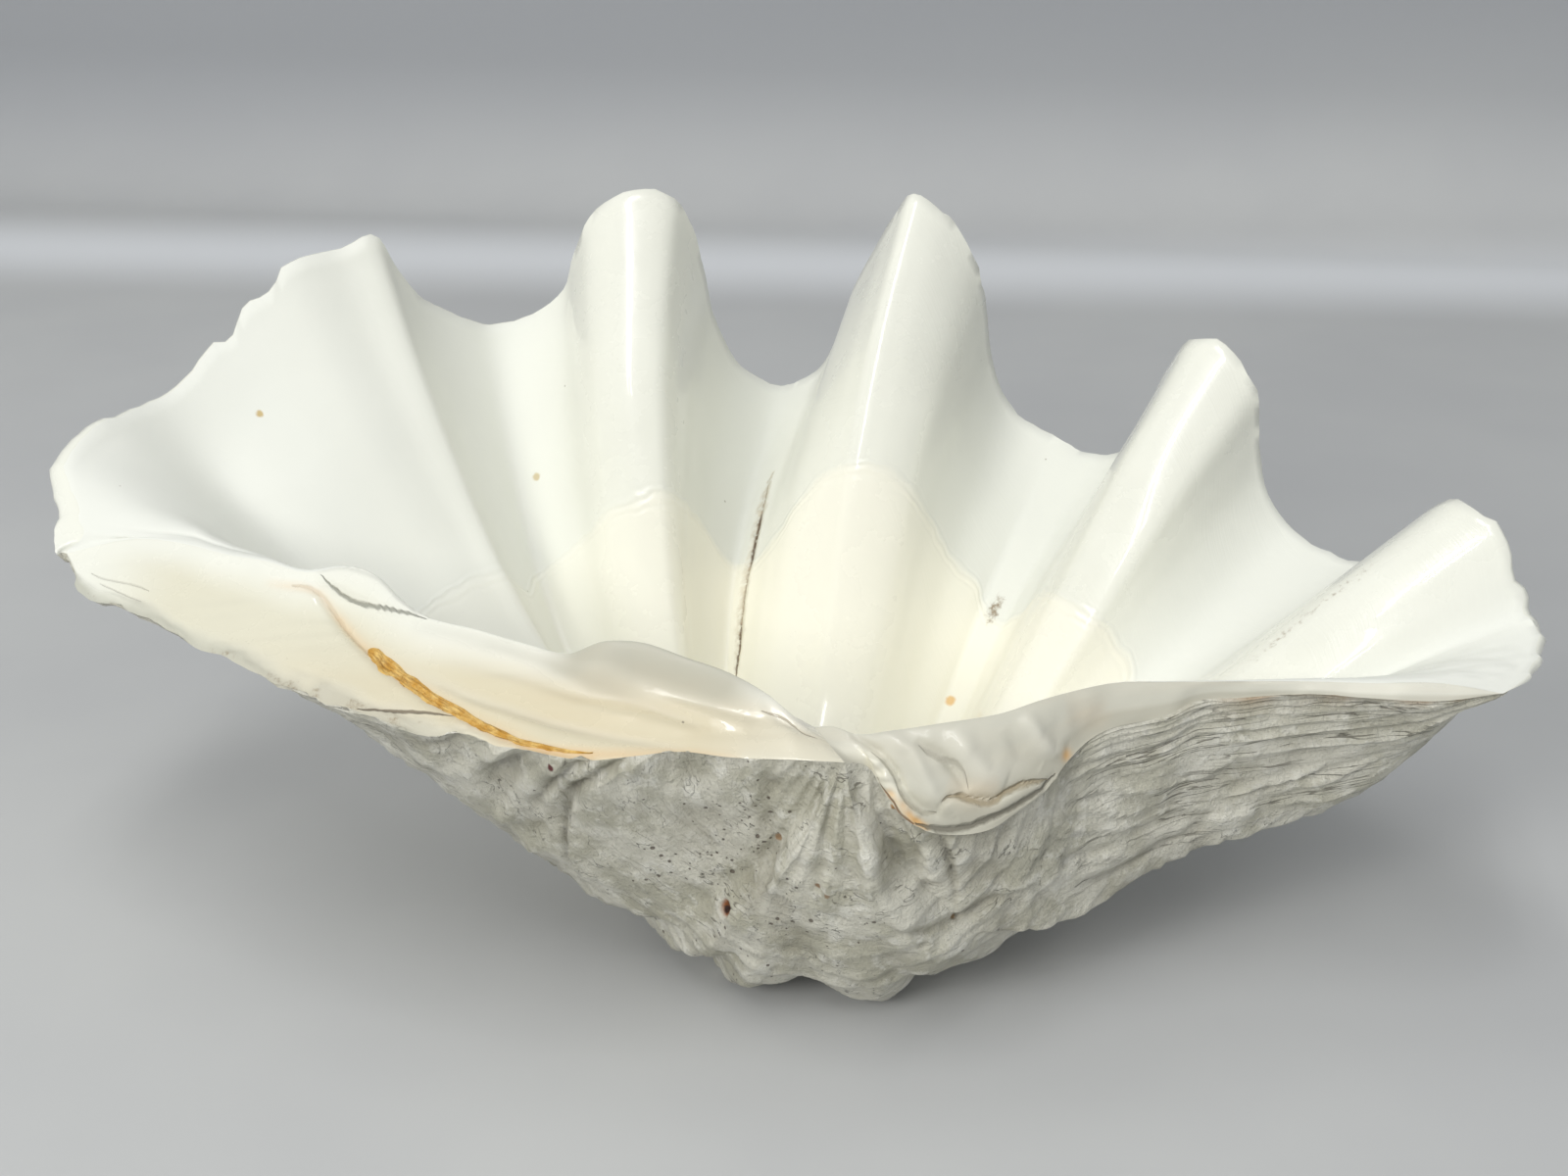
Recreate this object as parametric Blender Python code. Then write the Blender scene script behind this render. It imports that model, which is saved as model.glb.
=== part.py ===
"""One valve of a giant clam, lying on its outer side with the hinge toward the viewer.

The valve is modelled in its own frame, in millimetres: the origin is the tip of the umbo, a runs
along the hinge from the rear corner (negative) to the front corner (positive), b runs from the
hinge to the wavy margin, and c stands up out of the bowl. Two fans of spokes leave the umbo, one
for the inside and one for the outside. Along each spoke s goes from 0 at the umbo to 1 at the
margin, and u goes from 0 at the rear corner to 1 at the front corner along the margin. Three
strips close the solid between the fans: the hinge plate, the byssal lip and the margin itself.
The finished mesh is tilted as the valve lies, and its lowest ribs are worn flat on the table.
"""

import math
from typing import NamedTuple

import bmesh
import bpy
import numpy as np
from mathutils import Matrix, Vector
from mathutils.bvhtree import BVHTree

MM = 0.001

# How the valve lies: the margin is tilted up from the hinge, and the front end is a little lower.
TILT_DEG = 14.8
ROLL_DEG = 2.45
# Tip of the umbo in the finished part's frame, in mm: 94.6 above the table.
UMBO_AT = (29.8, -111.7, 94.6)

# Inner edge of the wavy margin, from the rear corner over the five peaks to the front corner.
MARGIN = (
    (-233, 50, -1), (-238, 61, 6), (-242, 74, 12), (-238, 92, 15), (-227, 115, 11),
    (-217, 133, 19), (-208, 147, 29), (-197, 160, 36), (-187, 170, 35), (-178, 178, 36),
    (-173, 181, 23), (-167, 185, 10), (-156, 192, -1), (-148, 197, -6), (-139, 201, -5),
    (-126, 206, 3), (-121, 208, 18), (-115, 210, 31), (-106, 213, 38), (-98, 216, 39),
    (-89, 218, 36), (-84, 220, 26), (-80, 221, 8), (-76, 222, -14), (-66, 224, -33),
    (-54, 226, -39), (-43, 227, -33), (-35, 227, -17), (-30, 227, 2), (-24, 227, 16),
    (-17, 227, 31), (-11, 226, 40), (-3, 225, 37), (6, 223, 28), (13, 221, 15),
    (16, 220, 0), (19, 219, -17), (27, 215, -32), (40, 210, -38), (52, 204, -39),
    (63, 198, -35), (70, 193, -17), (76, 190, 6), (83, 184, 21), (90, 180, 23),
    (96, 176, 20), (102, 171, 14), (105, 169, 0), (109, 165, -17), (118, 158, -28),
    (129, 148, -29), (140, 139, -25), (147, 131, -9), (153, 124, 9), (157, 120, 15),
    (161, 114, 17), (167, 109, 17), (173, 100, 9), (178, 91, 0), (181, 80, -2),
    (178, 70, -4), (170, 62, -6),
)

# Hinge plate: its outer edge from the umbo to the rear corner, and the toothed edge of the bowl.
HINGE_EDGE = (
    (0, 0, 0), (-11, -1, 0), (-30, -3, 0), (-42, -3, 0), (-55, -6, -1), (-65, -8, -2),
    (-82, -7, -2), (-98, -4, -3), (-116, -4, -3), (-130, 0, -3), (-142, 4, -3), (-158, 9, -4),
    (-180, 19, -4), (-203, 30, -4), (-224, 37, -4), (-233, 50, -1),
)
TOOTH_EDGE = (
    (-10, 14, -2), (-14, 14, 0), (-23, 18, 4), (-33, 20, 8), (-45, 22, 10), (-59, 24, 12),
    (-67, 23, 12), (-79, 24, 5), (-90, 26, 5), (-107, 29, 6), (-119, 31, 6), (-128, 36, 7),
    (-136, 42, 9), (-143, 45, 9), (-149, 46, 8), (-157, 45, 6), (-172, 49, 5), (-184, 50, 5),
    (-198, 54, 4), (-214, 55, 3), (-233, 50, -1),
)
# Byssal lip: the lower edge of the reflected lip from the umbo, and the crest it rolls over.
LIP_EDGE = (
    (0, 0, 0), (5, 3, -3), (11, 0, -10), (15, -3, -13), (22, -4, -17), (31, -2, -19),
    (38, 1, -19), (45, 7, -17), (51, 13, -15), (54, 18, -13), (57, 23, -11), (61, 28, -9),
    (67, 33, -8), (73, 36, -8), (82, 40, -7), (87, 44, -6), (102, 49, -6), (119, 52, -5),
    (135, 53, -5), (153, 56, -6), (170, 62, -6),
)
LIP_CREST = (
    (-10, 14, -2), (-5, 13, 0), (1, 11, 0), (11, 13, 1), (24, 17, 2), (38, 23, 2),
    (48, 30, 2), (58, 37, 1), (66, 42, 0), (80, 46, -1), (96, 50, -2), (119, 55, -3),
    (135, 57, -3), (153, 60, -3), (170, 62, -6),
)
# Where the inner fan starts, under the plate beside the umbo.
INNER_POLE = TOOTH_EDGE[0]
# Groove of the hinge ligament, in plan, and its size.
LIGAMENT_LINE = (
    (-156, 44), (-142, 30), (-128, 18), (-112, 8), (-96, 1), (-80, -6), (-66, -8),
)
GROOVE_DEEP = 1.6
GROOVE_HALF_WIDE = 2.2


class Groove(NamedTuple):
    """A groove of the inside, which is a rib on the outside."""

    at: float
    floor: tuple
    rib: tuple
    bend_in: tuple
    bend_out: tuple


class Ridge(NamedTuple):
    """A ridge of the inside, which is a furrow on the outside."""

    at: float
    crest: tuple
    bend_in: tuple
    bend_out: tuple


# Steps along a spoke at which the inner and outer heights below are given.
INNER_STEPS = (0, 0.06, 0.12, 0.2, 0.33, 0.45, 0.57, 0.7, 0.83, 0.92, 1)
OUTER_STEPS = (0, 0.05, 0.1, 0.16, 0.24, 0.33, 0.42, 0.5, 0.58, 0.66, 0.75, 0.85, 1)
# How far in plan an outer spoke has gone at each step: toward the margin, and sideways.
OUTER_FORWARD = (0, 0.003, 0.012, 0.028, 0.06, 0.13, 0.23, 0.33, 0.44, 0.55, 0.68, 0.82, 1)
OUTER_SIDEWAYS = (0, 0.03, 0.07, 0.13, 0.19, 0.26, 0.33, 0.40, 0.48, 0.58, 0.70, 0.83, 1)
# Height of the outer furrows over the ribs at each step, and the umbo's bulge to the front.
FURROW_RISE = (0, 0, 2, 4, 8, 10, 13, 19, 31, 45, 58, 67, 79)
UMBO_BULGE = (0, -8, -12, -13, -11, -7, -3, 0, 0, 0, 0, 0, 0)
FULL_RISE = 79.0

# Each fold: its place in MARGIN, its heights along the spoke, and the plan bend of its spokes.
GROOVES = (
    Groove(4, (-2, -14, -26, -42, -58, -58, -48, -33, -18, -8, 10),
           (0, -13, -30, -48, -64, -74, -80, -80, -67, -53, -40, -24, 0), (-112, 44), (-112, 34)),
    Groove(13, (-2, -18, -38, -60, -78, -80, -73, -58, -38, -22, -6),
           (0, -15, -34, -55, -77, -92, -103, -109, -109, -102, -84, -54, -12), (-108, 82), (-108, 72)),
    Groove(25, (-2, -20, -44, -72, -93, -96, -87, -70, -57, -49, -39),
           (0, -18, -41, -65, -90, -103, -110, -117, -124, -126, -108, -79, -45), (-72, 86), (-80, 80)),
    Groove(39.5, (-2, -20, -44, -71, -91, -93, -83, -67, -55, -48, -39),
           (0, -18, -41, -65, -89, -101, -108, -115, -122, -125, -107, -77, -45), (14, 92), (24, 86)),
    Groove(50.5, (-2, -18, -36, -54, -66, -64, -57, -47, -39, -34, -29),
           (0, -14, -31, -50, -68, -79, -85, -91, -93, -88, -75, -56, -34), (60, 72), (68, 60)),
    Groove(58, (-2, -16, -31, -47, -57, -56, -51, -42, -28, -15, -2),
           (0, -12, -27, -43, -57, -65, -68, -66, -61, -56, -55, -47, -14), (84, 56), (90, 36)),
)
RIDGES = (
    Ridge(9, (-2, -14, -30, -48, -60, -60, -50, -32, -6, 14, 36), (-104, 72), (-104, 60)),
    Ridge(19, (-2, -18, -40, -63, -80, -75, -53, -22, 8, 24, 39), (-84, 84), (-88, 78)),
    Ridge(31.3, (-2, -18, -42, -66, -83, -74, -49, -17, 10, 26, 40), (-30, 92), (-30, 86)),
    Ridge(44.6, (-2, -17, -38, -60, -72, -62, -44, -22, 0, 12, 23), (40, 82), (46, 76)),
    Ridge(55.6, (-2, -14, -28, -42, -50, -44, -34, -19, -2, 9, 19), (76, 62), (84, 46)),
)
REAR_BENDS = ((-112, 38), (-112, 28))
FRONT_BENDS = ((84, 48), (90, 34))
# Levels that the folds die out to at the two corners: peaks, then troughs.
PEAK_ENDS = (32, 14)
TROUGH_ENDS = (3, -5)
# From this step on, the heights along a spoke lead over to the margin's own levels.
NEAR_MARGIN = 0.45
# How soon the fan's edges take the shape of the hinge and of the lip: higher is later.
HINGE_PULL = (1.6, 8)
HINGE_PULL_STEPS = (0.7, 0.95)
LIP_PULL = 1.2
# Ridge shape across the folds: below 1 the inside has broad ridges and narrow grooves.
INNER_POWER = ((0, 0.45, 0.6, 0.75, 0.9, 1), (0.6, 0.6, 0.6, 0.65, 0.85, 1))
OUTER_POWER = ((0, 0.5, 0.8, 1), (1.5, 1.5, 1.1, 1))

# Steps between which the outside passes from its own ribs to a wall of even thickness, in the
# middle of the shell and at its two corners, and the place u where the front corner begins.
WALL_START = (0.56, 0.80)
WALL_END = (0.86, 1.0)
FRONT_CORNER = (0.85, 0.95)
# Wall thickness along a spoke, and how much thicker the two corners are. Crests are slimmer.
WALL = ((0, 0.5, 0.75, 0.9, 1), (14, 12, 9, 6, 3.5))
CORNER_WALL = ((0, 0.04, 0.08, 0.12, 0.9, 0.96, 1), (2.0, 1.8, 1.3, 1, 1, 2.0, 2.0))

CREST_SLIM = 0.5

# Growth ledges of the outside: where each one drops, as a pair of steps, and how high it stands.
LEDGES = ((0.30, 0.32), (0.47, 0.5), (0.65, 0.68), (0.79, 0.82))
LEDGE_HIGH = 1.1
FIRST_LEDGE = 0.12

# Hinge plate: its height over the chord along s, and the inner part that rises to the teeth.
PLATE_BASE = ((0, 0.1, 0.9, 1), (0, 3, 4, MARGIN[0][2]))
TOOTH_SHARE = 0.38
# Search range for the groove across the plate, and how far its two side columns stand off.
GROOVE_RANGE = (0.08, 0.7)
GROOVE_SAMPLES = 125
GROOVE_SIDES = 2.4
WIDEST_SIDES = 0.06
LIP_ROLL = 1.5
EDGE_BULGE = 0.25

# Rows of the mesh along a spoke, and columns across the two hinge strips and the margin.
ROWS = (0, 0.03, 0.06, 0.1, 0.15, 0.2, 0.25, 0.3, 0.32, 0.37, 0.42, 0.47, 0.5, 0.57,
        0.65, 0.68, 0.74, 0.79, 0.82, 0.88, 0.94, 1)
STRIP_COLUMNS = 9
EDGE_COLUMNS = 3
LONG_SPAN = 13.0
WELD = 0.05 * MM

# Dried remnant of the ligament: part of the line that it covers, its size and its gap.
LIGAMENT_SPAN = (0.33, 0.86)
LIGAMENT_WIDE = 2.6
LIGAMENT_THICK = 0.9
LIGAMENT_STATIONS = 30
LIGAMENT_GAP = 0.35
LIGAMENT_RAGGED = 0.22
PROBE_HEIGHT = 30.0


def monotone(xs, ys, x):
    """Cubic through the points (xs, ys) that never overshoots them, read at x."""
    xs = np.asarray(xs, float)
    ys = np.asarray(ys, float)
    flat = ys.ndim == 1
    if flat:
        ys = ys[:, None]
    h = np.diff(xs)[:, None]
    slope = np.diff(ys, axis=0) / h
    tangent = np.zeros_like(ys)
    before = 2 * h[1:] + h[:-1]
    after = h[1:] + 2 * h[:-1]
    same = slope[:-1] * slope[1:] > 0
    safe_a = np.where(same, slope[:-1], 1.0)
    safe_b = np.where(same, slope[1:], 1.0)
    tangent[1:-1] = np.where(same, (before + after) / (before / safe_a + after / safe_b), 0)
    tangent[0] = slope[0]
    tangent[-1] = slope[-1]
    result = hermite(xs, ys, tangent, np.asarray(x, float))
    return result[..., 0] if flat else result


def hermite(xs, ys, tangent, x):
    """Cubic Hermite pieces with the given values and tangents at xs, read at x."""
    i = np.clip(np.searchsorted(xs, x) - 1, 0, len(xs) - 2)
    h = (xs[i + 1] - xs[i])[..., None]
    t = (x - xs[i])[..., None] / h
    rise = ys[i] * (1 + 2 * t) * (1 - t) ** 2 + ys[i + 1] * t * t * (3 - 2 * t)
    return rise + h * (tangent[i] * t * (1 - t) ** 2 + tangent[i + 1] * t * t * (t - 1))


def knots(points):
    """Share of the whole length reached at each point of a polyline."""
    run = np.cumsum(np.linalg.norm(np.diff(np.asarray(points, float), axis=0), axis=1))
    return np.concatenate([[0.0], run / run[-1]])


def curve(points, ts):
    """Smooth curve through the points, read at shares ts of its length."""
    points = np.asarray(points, float)
    k = knots(points)
    h = np.diff(k)[:, None]
    slope = np.diff(points, axis=0) / h
    tangent = np.zeros_like(points)
    tangent[1:-1] = (slope[:-1] * h[1:] + slope[1:] * h[:-1]) / (h[1:] + h[:-1])
    tangent[0] = slope[0]
    tangent[-1] = slope[-1]
    return hermite(k, points, tangent, np.asarray(ts, float))


def smooth(x):
    """Soft step from 0 to 1."""
    x = np.clip(x, 0, 1)
    return x * x * (3 - 2 * x)


def ramp(x, start, end):
    """Soft step that runs from 0 at start to 1 at end."""
    return smooth((x - start) / (end - start))


def margin_shares():
    """Places u of the spokes: the margin's own points, with long spans halved."""
    k = knots(MARGIN)
    spans = np.linalg.norm(np.diff(np.asarray(MARGIN, float), axis=0), axis=1)
    shares = [0.0]
    for i, span in enumerate(spans):
        parts = 2 if span > LONG_SPAN else 1
        shares.extend(np.linspace(k[i], k[i + 1], parts + 1)[1:])
    return np.array(shares)


def fold_shares(folds):
    """Places u of the given folds along the margin."""
    k = knots(MARGIN)
    return np.interp([fold.at for fold in folds], np.arange(len(k)), k)


def fold_levels(u, folds, ends, margin_gap):
    """Level along the margin of the peaks or of the troughs, a little beyond the margin itself."""
    at = fold_shares(folds)
    level = curve(MARGIN, at)[:, 2] + margin_gap
    return monotone([0, *at, 1], [ends[0], *level, ends[1]], u)


class Fan:
    """Spokes of one valve at places u, with what both its surfaces share."""

    def __init__(self, u):
        self.u = u
        self.margin = curve(MARGIN, u)
        self.grooves = fold_shares(GROOVES)
        self.ridges = fold_shares(RIDGES)
        self.rear = self.grooves[0]
        self.front = self.grooves[-1]
        self.peaks = fold_levels(u, RIDGES, PEAK_ENDS, 0.5)
        self.troughs = fold_levels(u, GROOVES, TROUGH_ENDS, -0.5)
        self.fold = np.clip((self.margin[:, 2] - self.troughs) / (self.peaks - self.troughs), 0, 1)
        places = np.concatenate([self.grooves, self.ridges])
        order = np.argsort(places)
        folds = [(GROOVES + RIDGES)[i] for i in order]
        at = [0, *places[order], 1]
        inside = [REAR_BENDS[0], *[fold.bend_in for fold in folds], FRONT_BENDS[0]]
        outside = [REAR_BENDS[1], *[fold.bend_out for fold in folds], FRONT_BENDS[1]]
        self.bend_in = monotone(at, inside, u)
        self.bend_out = monotone(at, outside, u)

    def plan(self, start, bend, share):
        """Plan paths of all spokes: quadratic curves from start over bend to the margin."""
        t = share[None, :, None]
        first = (1 - t) ** 2 * np.asarray(start, float)[None, None, :2]
        return first + 2 * t * (1 - t) * bend[:, None, :] + t * t * self.margin[:, None, :2]

    def inner(self, s):
        """Inside of the bowl: grooves and ridges that fade in from the umbo to the margin."""
        floors = np.array([monotone(INNER_STEPS, groove.floor, s) for groove in GROOVES])
        crests = np.array([monotone(INNER_STEPS, ridge.crest, s) for ridge in RIDGES])
        low = monotone(self.grooves, floors, np.clip(self.u, self.grooves[0], self.grooves[-1]))
        high = monotone(self.ridges, crests, np.clip(self.u, self.ridges[0], self.ridges[-1]))
        near = smooth((s - NEAR_MARGIN) / (1 - NEAR_MARGIN))[None, :]
        low = low + (self.troughs[:, None] - low[:, -1:]) * near
        high = high + (self.peaks[:, None] - high[:, -1:]) * near
        power = np.interp(s, *INNER_POWER)[None, :]
        height = low + (high - low) * self.fold[:, None] ** power
        plan = self.plan(INNER_POLE, self.bend_in, s)
        surface = np.concatenate([plan, height[..., None]], axis=-1)
        surface[:, s >= 1.0] = self.margin[:, None]
        surface[:, s <= 0.0] = INNER_POLE
        to_hinge = 1 - smooth(self.u / self.rear)
        to_lip = smooth((self.u - self.ridges[-1]) / (1 - self.ridges[-1])) ** LIP_PULL
        surface = surface + (curve(TOOTH_EDGE, s) - surface[0])[None] * to_hinge[:, None, None]
        return surface + (curve(LIP_CREST, s) - surface[-1])[None] * to_lip[:, None, None]

    def outer(self, s):
        """Outside: swollen umbo and broad ribs, then a wall of even thickness to the margin."""
        ribs = np.array([monotone(OUTER_STEPS, groove.rib, s) for groove in GROOVES])
        rib = monotone(self.grooves, ribs, np.clip(self.u, self.grooves[0], self.grooves[-1]))
        rise = monotone(OUTER_STEPS, FURROW_RISE, s)[None, :]
        rise = rise * ((self.peaks - self.troughs) / FULL_RISE)[:, None]
        power = np.interp(s, *OUTER_POWER)[None, :]
        height = rib + rise * self.fold[:, None] ** power
        forward = monotone(OUTER_STEPS, OUTER_FORWARD, s)
        sideways = monotone(OUTER_STEPS, OUTER_SIDEWAYS, s)
        plan = self.plan((0, 0), self.bend_out, forward)
        plan[..., 0] = self.plan((0, 0), self.bend_out, sideways)[..., 0]
        middle = smooth(self.u / self.grooves[1]) * smooth((1 - self.u) / (1 - self.grooves[-2]))
        plan[..., 1] += monotone(OUTER_STEPS, UMBO_BULGE, s)[None, :] * middle[:, None]
        body = np.concatenate([plan, height[..., None]], axis=-1)
        inside = self.inner(forward)
        up = normals(inside)
        up[:, 0] = (0, 0, 1)
        corner = (np.interp(self.u, *CORNER_WALL) - 1)[:, None] * ramp(s, 0.4, 0.8)[None, :]
        slim = 1 - CREST_SLIM * (self.fold[:, None] * ramp(s, 0.4, 0.7)[None, :]) ** 2
        wall = inside - up * (np.interp(s, *WALL)[None, :] * (1 + corner) * slim)[..., None]
        at_rear = 1 - smooth(self.u / self.rear)
        at_front = ramp(self.u, *FRONT_CORNER)
        at_corner = np.maximum(at_rear, at_front)[:, None]
        start = WALL_START[0] + (WALL_START[1] - WALL_START[0]) * at_corner
        end = WALL_END[0] + (WALL_END[1] - WALL_END[0]) * at_corner
        share = ramp(s[None, :], start, end)[..., None]
        surface = body * (1 - share) + wall * share
        surface[:, 0] = 0
        surface = surface - up * (ledge_height(s)[None, :] * middle[:, None])[..., None]
        to_hinge = at_rear[:, None] ** (HINGE_PULL[0] + HINGE_PULL[1] * ramp(s, *HINGE_PULL_STEPS))[None, :]
        to_lip = smooth((self.u - self.front) / (1 - self.front))
        surface = surface + (curve(HINGE_EDGE, s) - surface[0])[None] * to_hinge[..., None]
        return surface + (curve(LIP_EDGE, s) - surface[-1])[None] * to_lip[:, None, None]


def normals(surface):
    """Unit normals of a grid surface, up out of the bowl."""
    along = np.gradient(surface, axis=0)
    away = np.gradient(surface, axis=1)
    normal = np.cross(along, away)
    return normal / np.maximum(np.linalg.norm(normal, axis=-1, keepdims=True), 1e-9)


def ledge_height(s):
    """Growth ledges: each layer swells toward its edge and drops to the next one there."""
    height = np.zeros_like(s)
    start = FIRST_LEDGE
    for top, foot in LEDGES:
        inside = (s > start) & (s <= top)
        height = np.where(inside, LEDGE_HIGH * ((s - start) / (top - start)) ** 2, height)
        start = foot
    return height


def line_distance(points, line):
    """Distance from plan points to a polyline."""
    line = np.asarray(line, float)
    best = np.full(points.shape[:-1], np.inf)
    for start, end in zip(line[:-1], line[1:]):
        run = end - start
        t = np.clip(((points - start) @ run) / (run @ run), 0, 1)
        best = np.minimum(best, np.linalg.norm(points - start - t[..., None] * run, axis=-1))
    return best


def plate_columns(outer, inner):
    """Places of the plate's columns in every row, bent so that three of them follow the groove."""
    fine = np.linspace(*GROOVE_RANGE, GROOVE_SAMPLES)
    across = outer[:, None, :2] * (1 - fine[None, :, None]) + inner[:, None, :2] * fine[None, :, None]
    away = line_distance(across, LIGAMENT_LINE)
    groove = fine[np.argmin(away, axis=1)]
    width = np.maximum(np.linalg.norm((inner - outer)[:, :2], axis=1), 1.0)
    half = np.minimum(GROOVE_SIDES * GROOVE_HALF_WIDE / width, WIDEST_SIDES)
    columns = [np.zeros_like(groove), groove - half, groove, groove + half]
    steps = STRIP_COLUMNS - len(columns)
    for i in range(1, steps + 1):
        columns.append(groove + half + (1 - groove - half) * i / steps)
    return np.stack(columns, axis=1)


def plate(s):
    """Hinge plate, from its outer edge to the toothed edge, with the groove of the ligament."""
    outer = curve(HINGE_EDGE, s)
    inner = curve(TOOTH_EDGE, s)
    w = plate_columns(outer, inner)
    surface = outer[:, None] * (1 - w[..., None]) + inner[:, None] * w[..., None]
    base = np.interp(s, *PLATE_BASE)[:, None]
    tooth = inner[:, 2][:, None] - base
    height = outer[:, 2][:, None] * (1 - w) + base * w + tooth * ramp(w, 1 - TOOTH_SHARE, 1)
    away = line_distance(surface[..., :2], LIGAMENT_LINE)
    inland = np.sqrt(np.clip(np.sin(np.pi * w), 0, 1))
    height = height - GROOVE_DEEP * np.exp(-(away / GROOVE_HALF_WIDE) ** 2) * inland
    surface[..., 2] = np.where((w <= 0) | (w >= 1), surface[..., 2], height)
    surface[0] = umbo_line()
    return surface


def lip(s):
    """Byssal lip: rolls over its crest and hangs down to its edge."""
    outer = curve(LIP_EDGE, s)
    inner = curve(LIP_CREST, s)
    w = np.linspace(0, 1, STRIP_COLUMNS)[None, :, None]
    surface = outer[:, None] * (1 - w) + inner[:, None] * w
    drop = (outer - inner)[:, 2][:, None] * (1 - w[..., 0]) ** LIP_ROLL
    surface[..., 2] = inner[:, 2][:, None] + drop
    surface[0] = umbo_line()
    return surface


def umbo_line():
    """First row of both strips: the straight line from the umbo's tip to the inner pole."""
    w = np.linspace(0, 1, STRIP_COLUMNS)[:, None]
    return np.asarray(INNER_POLE, float) * w


def edge_strip(inside, outside):
    """Rounded edge of the margin between the two fans."""
    w = np.linspace(0, 1, EDGE_COLUMNS)[None, :, None]
    strip = inside[:, -1][:, None] * (1 - w) + outside[:, -1][:, None] * w
    growth = inside[:, -1] - inside[:, -2]
    growth = growth / np.maximum(np.linalg.norm(growth, axis=1, keepdims=True), 1e-9)
    thick = np.linalg.norm(inside[:, -1] - outside[:, -1], axis=1)
    return strip + (growth * thick[:, None])[:, None] * EDGE_BULGE * np.sin(np.pi * w)


def add_grid(bm, grid):
    """Add a grid of quads to the mesh; welding joins it to its neighbours."""
    rows, columns = grid.shape[:2]
    verts = [bm.verts.new(point) for point in grid.reshape(-1, 3) * MM]
    for i in range(rows - 1):
        for j in range(columns - 1):
            corner = i * columns + j
            ring = (corner, corner + 1, corner + columns + 1, corner + columns)
            bm.faces.new([verts[index] for index in ring])


def lying_pose():
    """Turn from the valve's own frame to how it lies, and the umbo's place, in metres."""
    tilt = Matrix.Rotation(math.radians(TILT_DEG), 4, "X")
    roll = Matrix.Rotation(math.radians(ROLL_DEG), 4, "Y")
    return Matrix.Translation(Vector(UMBO_AT) * MM) @ roll @ tilt


def material(name, colour, roughness):
    """Principled material of one piece."""
    made = bpy.data.materials.new(name)
    made.use_nodes = True
    shader = made.node_tree.nodes["Principled BSDF"]
    shader.inputs["Base Color"].default_value = (*colour, 1.0)
    shader.inputs["Roughness"].default_value = roughness
    shader.inputs["Metallic"].default_value = 0.0
    return made


def finish(bm, name, made):
    """Turn the welded faces into a named, smooth-shaded object."""
    bmesh.ops.recalc_face_normals(bm, faces=bm.faces)
    mesh = bpy.data.meshes.new(name)
    bm.to_mesh(mesh)
    bm.free()
    mesh.materials.append(made)
    mesh.shade_smooth()
    piece = bpy.data.objects.new(name, mesh)
    bpy.context.scene.collection.objects.link(piece)
    return piece


def shell_valve():
    """The whole valve as one closed solid."""
    fan = Fan(margin_shares())
    s = np.array(ROWS, float)
    inside = fan.inner(s)
    outside = fan.outer(s)
    hinge = plate(s)
    byssal = lip(s)
    strip = edge_strip(inside, outside)
    bm = bmesh.new()
    for grid in (inside, outside, hinge, byssal, strip):
        add_grid(bm, grid)
    bmesh.ops.remove_doubles(bm, verts=bm.verts, dist=WELD)
    bmesh.ops.dissolve_degenerate(bm, edges=bm.edges, dist=WELD)
    bmesh.ops.triangulate(bm, faces=bm.faces)
    bm.transform(lying_pose())
    for vert in bm.verts:
        vert.co.z = max(vert.co.z, 0.0)
    return finish(bm, "shell_valve", material("shell_porcelain", (0.86, 0.85, 0.79), 0.3))


def ligament_remnant(valve):
    """Dried strip of the ligament, lying in its groove on the hinge plate."""
    pose = lying_pose()
    ground = BVHTree.FromObject(valve, bpy.context.evaluated_depsgraph_get())
    up = (pose.to_3x3() @ Vector((0, 0, 1))).normalized()
    ts = np.linspace(*LIGAMENT_SPAN, LIGAMENT_STATIONS)
    line = curve(LIGAMENT_LINE, ts)
    ahead = np.gradient(line, axis=0)
    side = np.stack([-ahead[:, 1], ahead[:, 0]], axis=1)
    side = side / np.linalg.norm(side, axis=1, keepdims=True)
    fade = np.sqrt(np.clip(np.sin(np.pi * np.linspace(0.06, 0.94, LIGAMENT_STATIONS)), 0, 1))
    ragged = 1 + LIGAMENT_RAGGED * np.sin(ts * 91) * np.sin(ts * 37 + 1)
    bm = bmesh.new()
    rings = []
    for place, across, size in zip(line, side, fade * ragged):
        half = 0.5 * LIGAMENT_WIDE * size
        offsets = (-half, 0.0, half)
        base = [pose @ (Vector((*(place + across * w), PROBE_HEIGHT)) * MM) for w in offsets]
        heights = [ground.ray_cast(point, -up)[0] for point in base]
        level = max((hit - base[1]).dot(up) for hit in heights) + LIGAMENT_GAP * MM
        low = [point + up * (level - (point - base[1]).dot(up)) for point in base]
        thick = LIGAMENT_THICK * MM * (0.45 + 0.55 * size)
        high = [low[2] + up * 0.5 * thick, low[1] + up * thick, low[0] + up * 0.5 * thick]
        rings.append([bm.verts.new(point) for point in (low[0], low[2], *high)])
    for first, second in zip(rings[:-1], rings[1:]):
        for i in range(len(first)):
            j = (i + 1) % len(first)
            bm.faces.new((first[i], first[j], second[j], second[i]))
    bm.faces.new(rings[0][::-1])
    bm.faces.new(rings[-1])
    bmesh.ops.triangulate(bm, faces=bm.faces)
    return finish(bm, "ligament_remnant", material("dried_ligament", (0.58, 0.33, 0.05), 0.7))


def main():
    """Clear the scene and build both pieces."""
    for old in list(bpy.data.objects):
        bpy.data.objects.remove(old, do_unlink=True)
    valve = shell_valve()
    bpy.context.view_layer.update()
    ligament_remnant(valve)


main()
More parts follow.
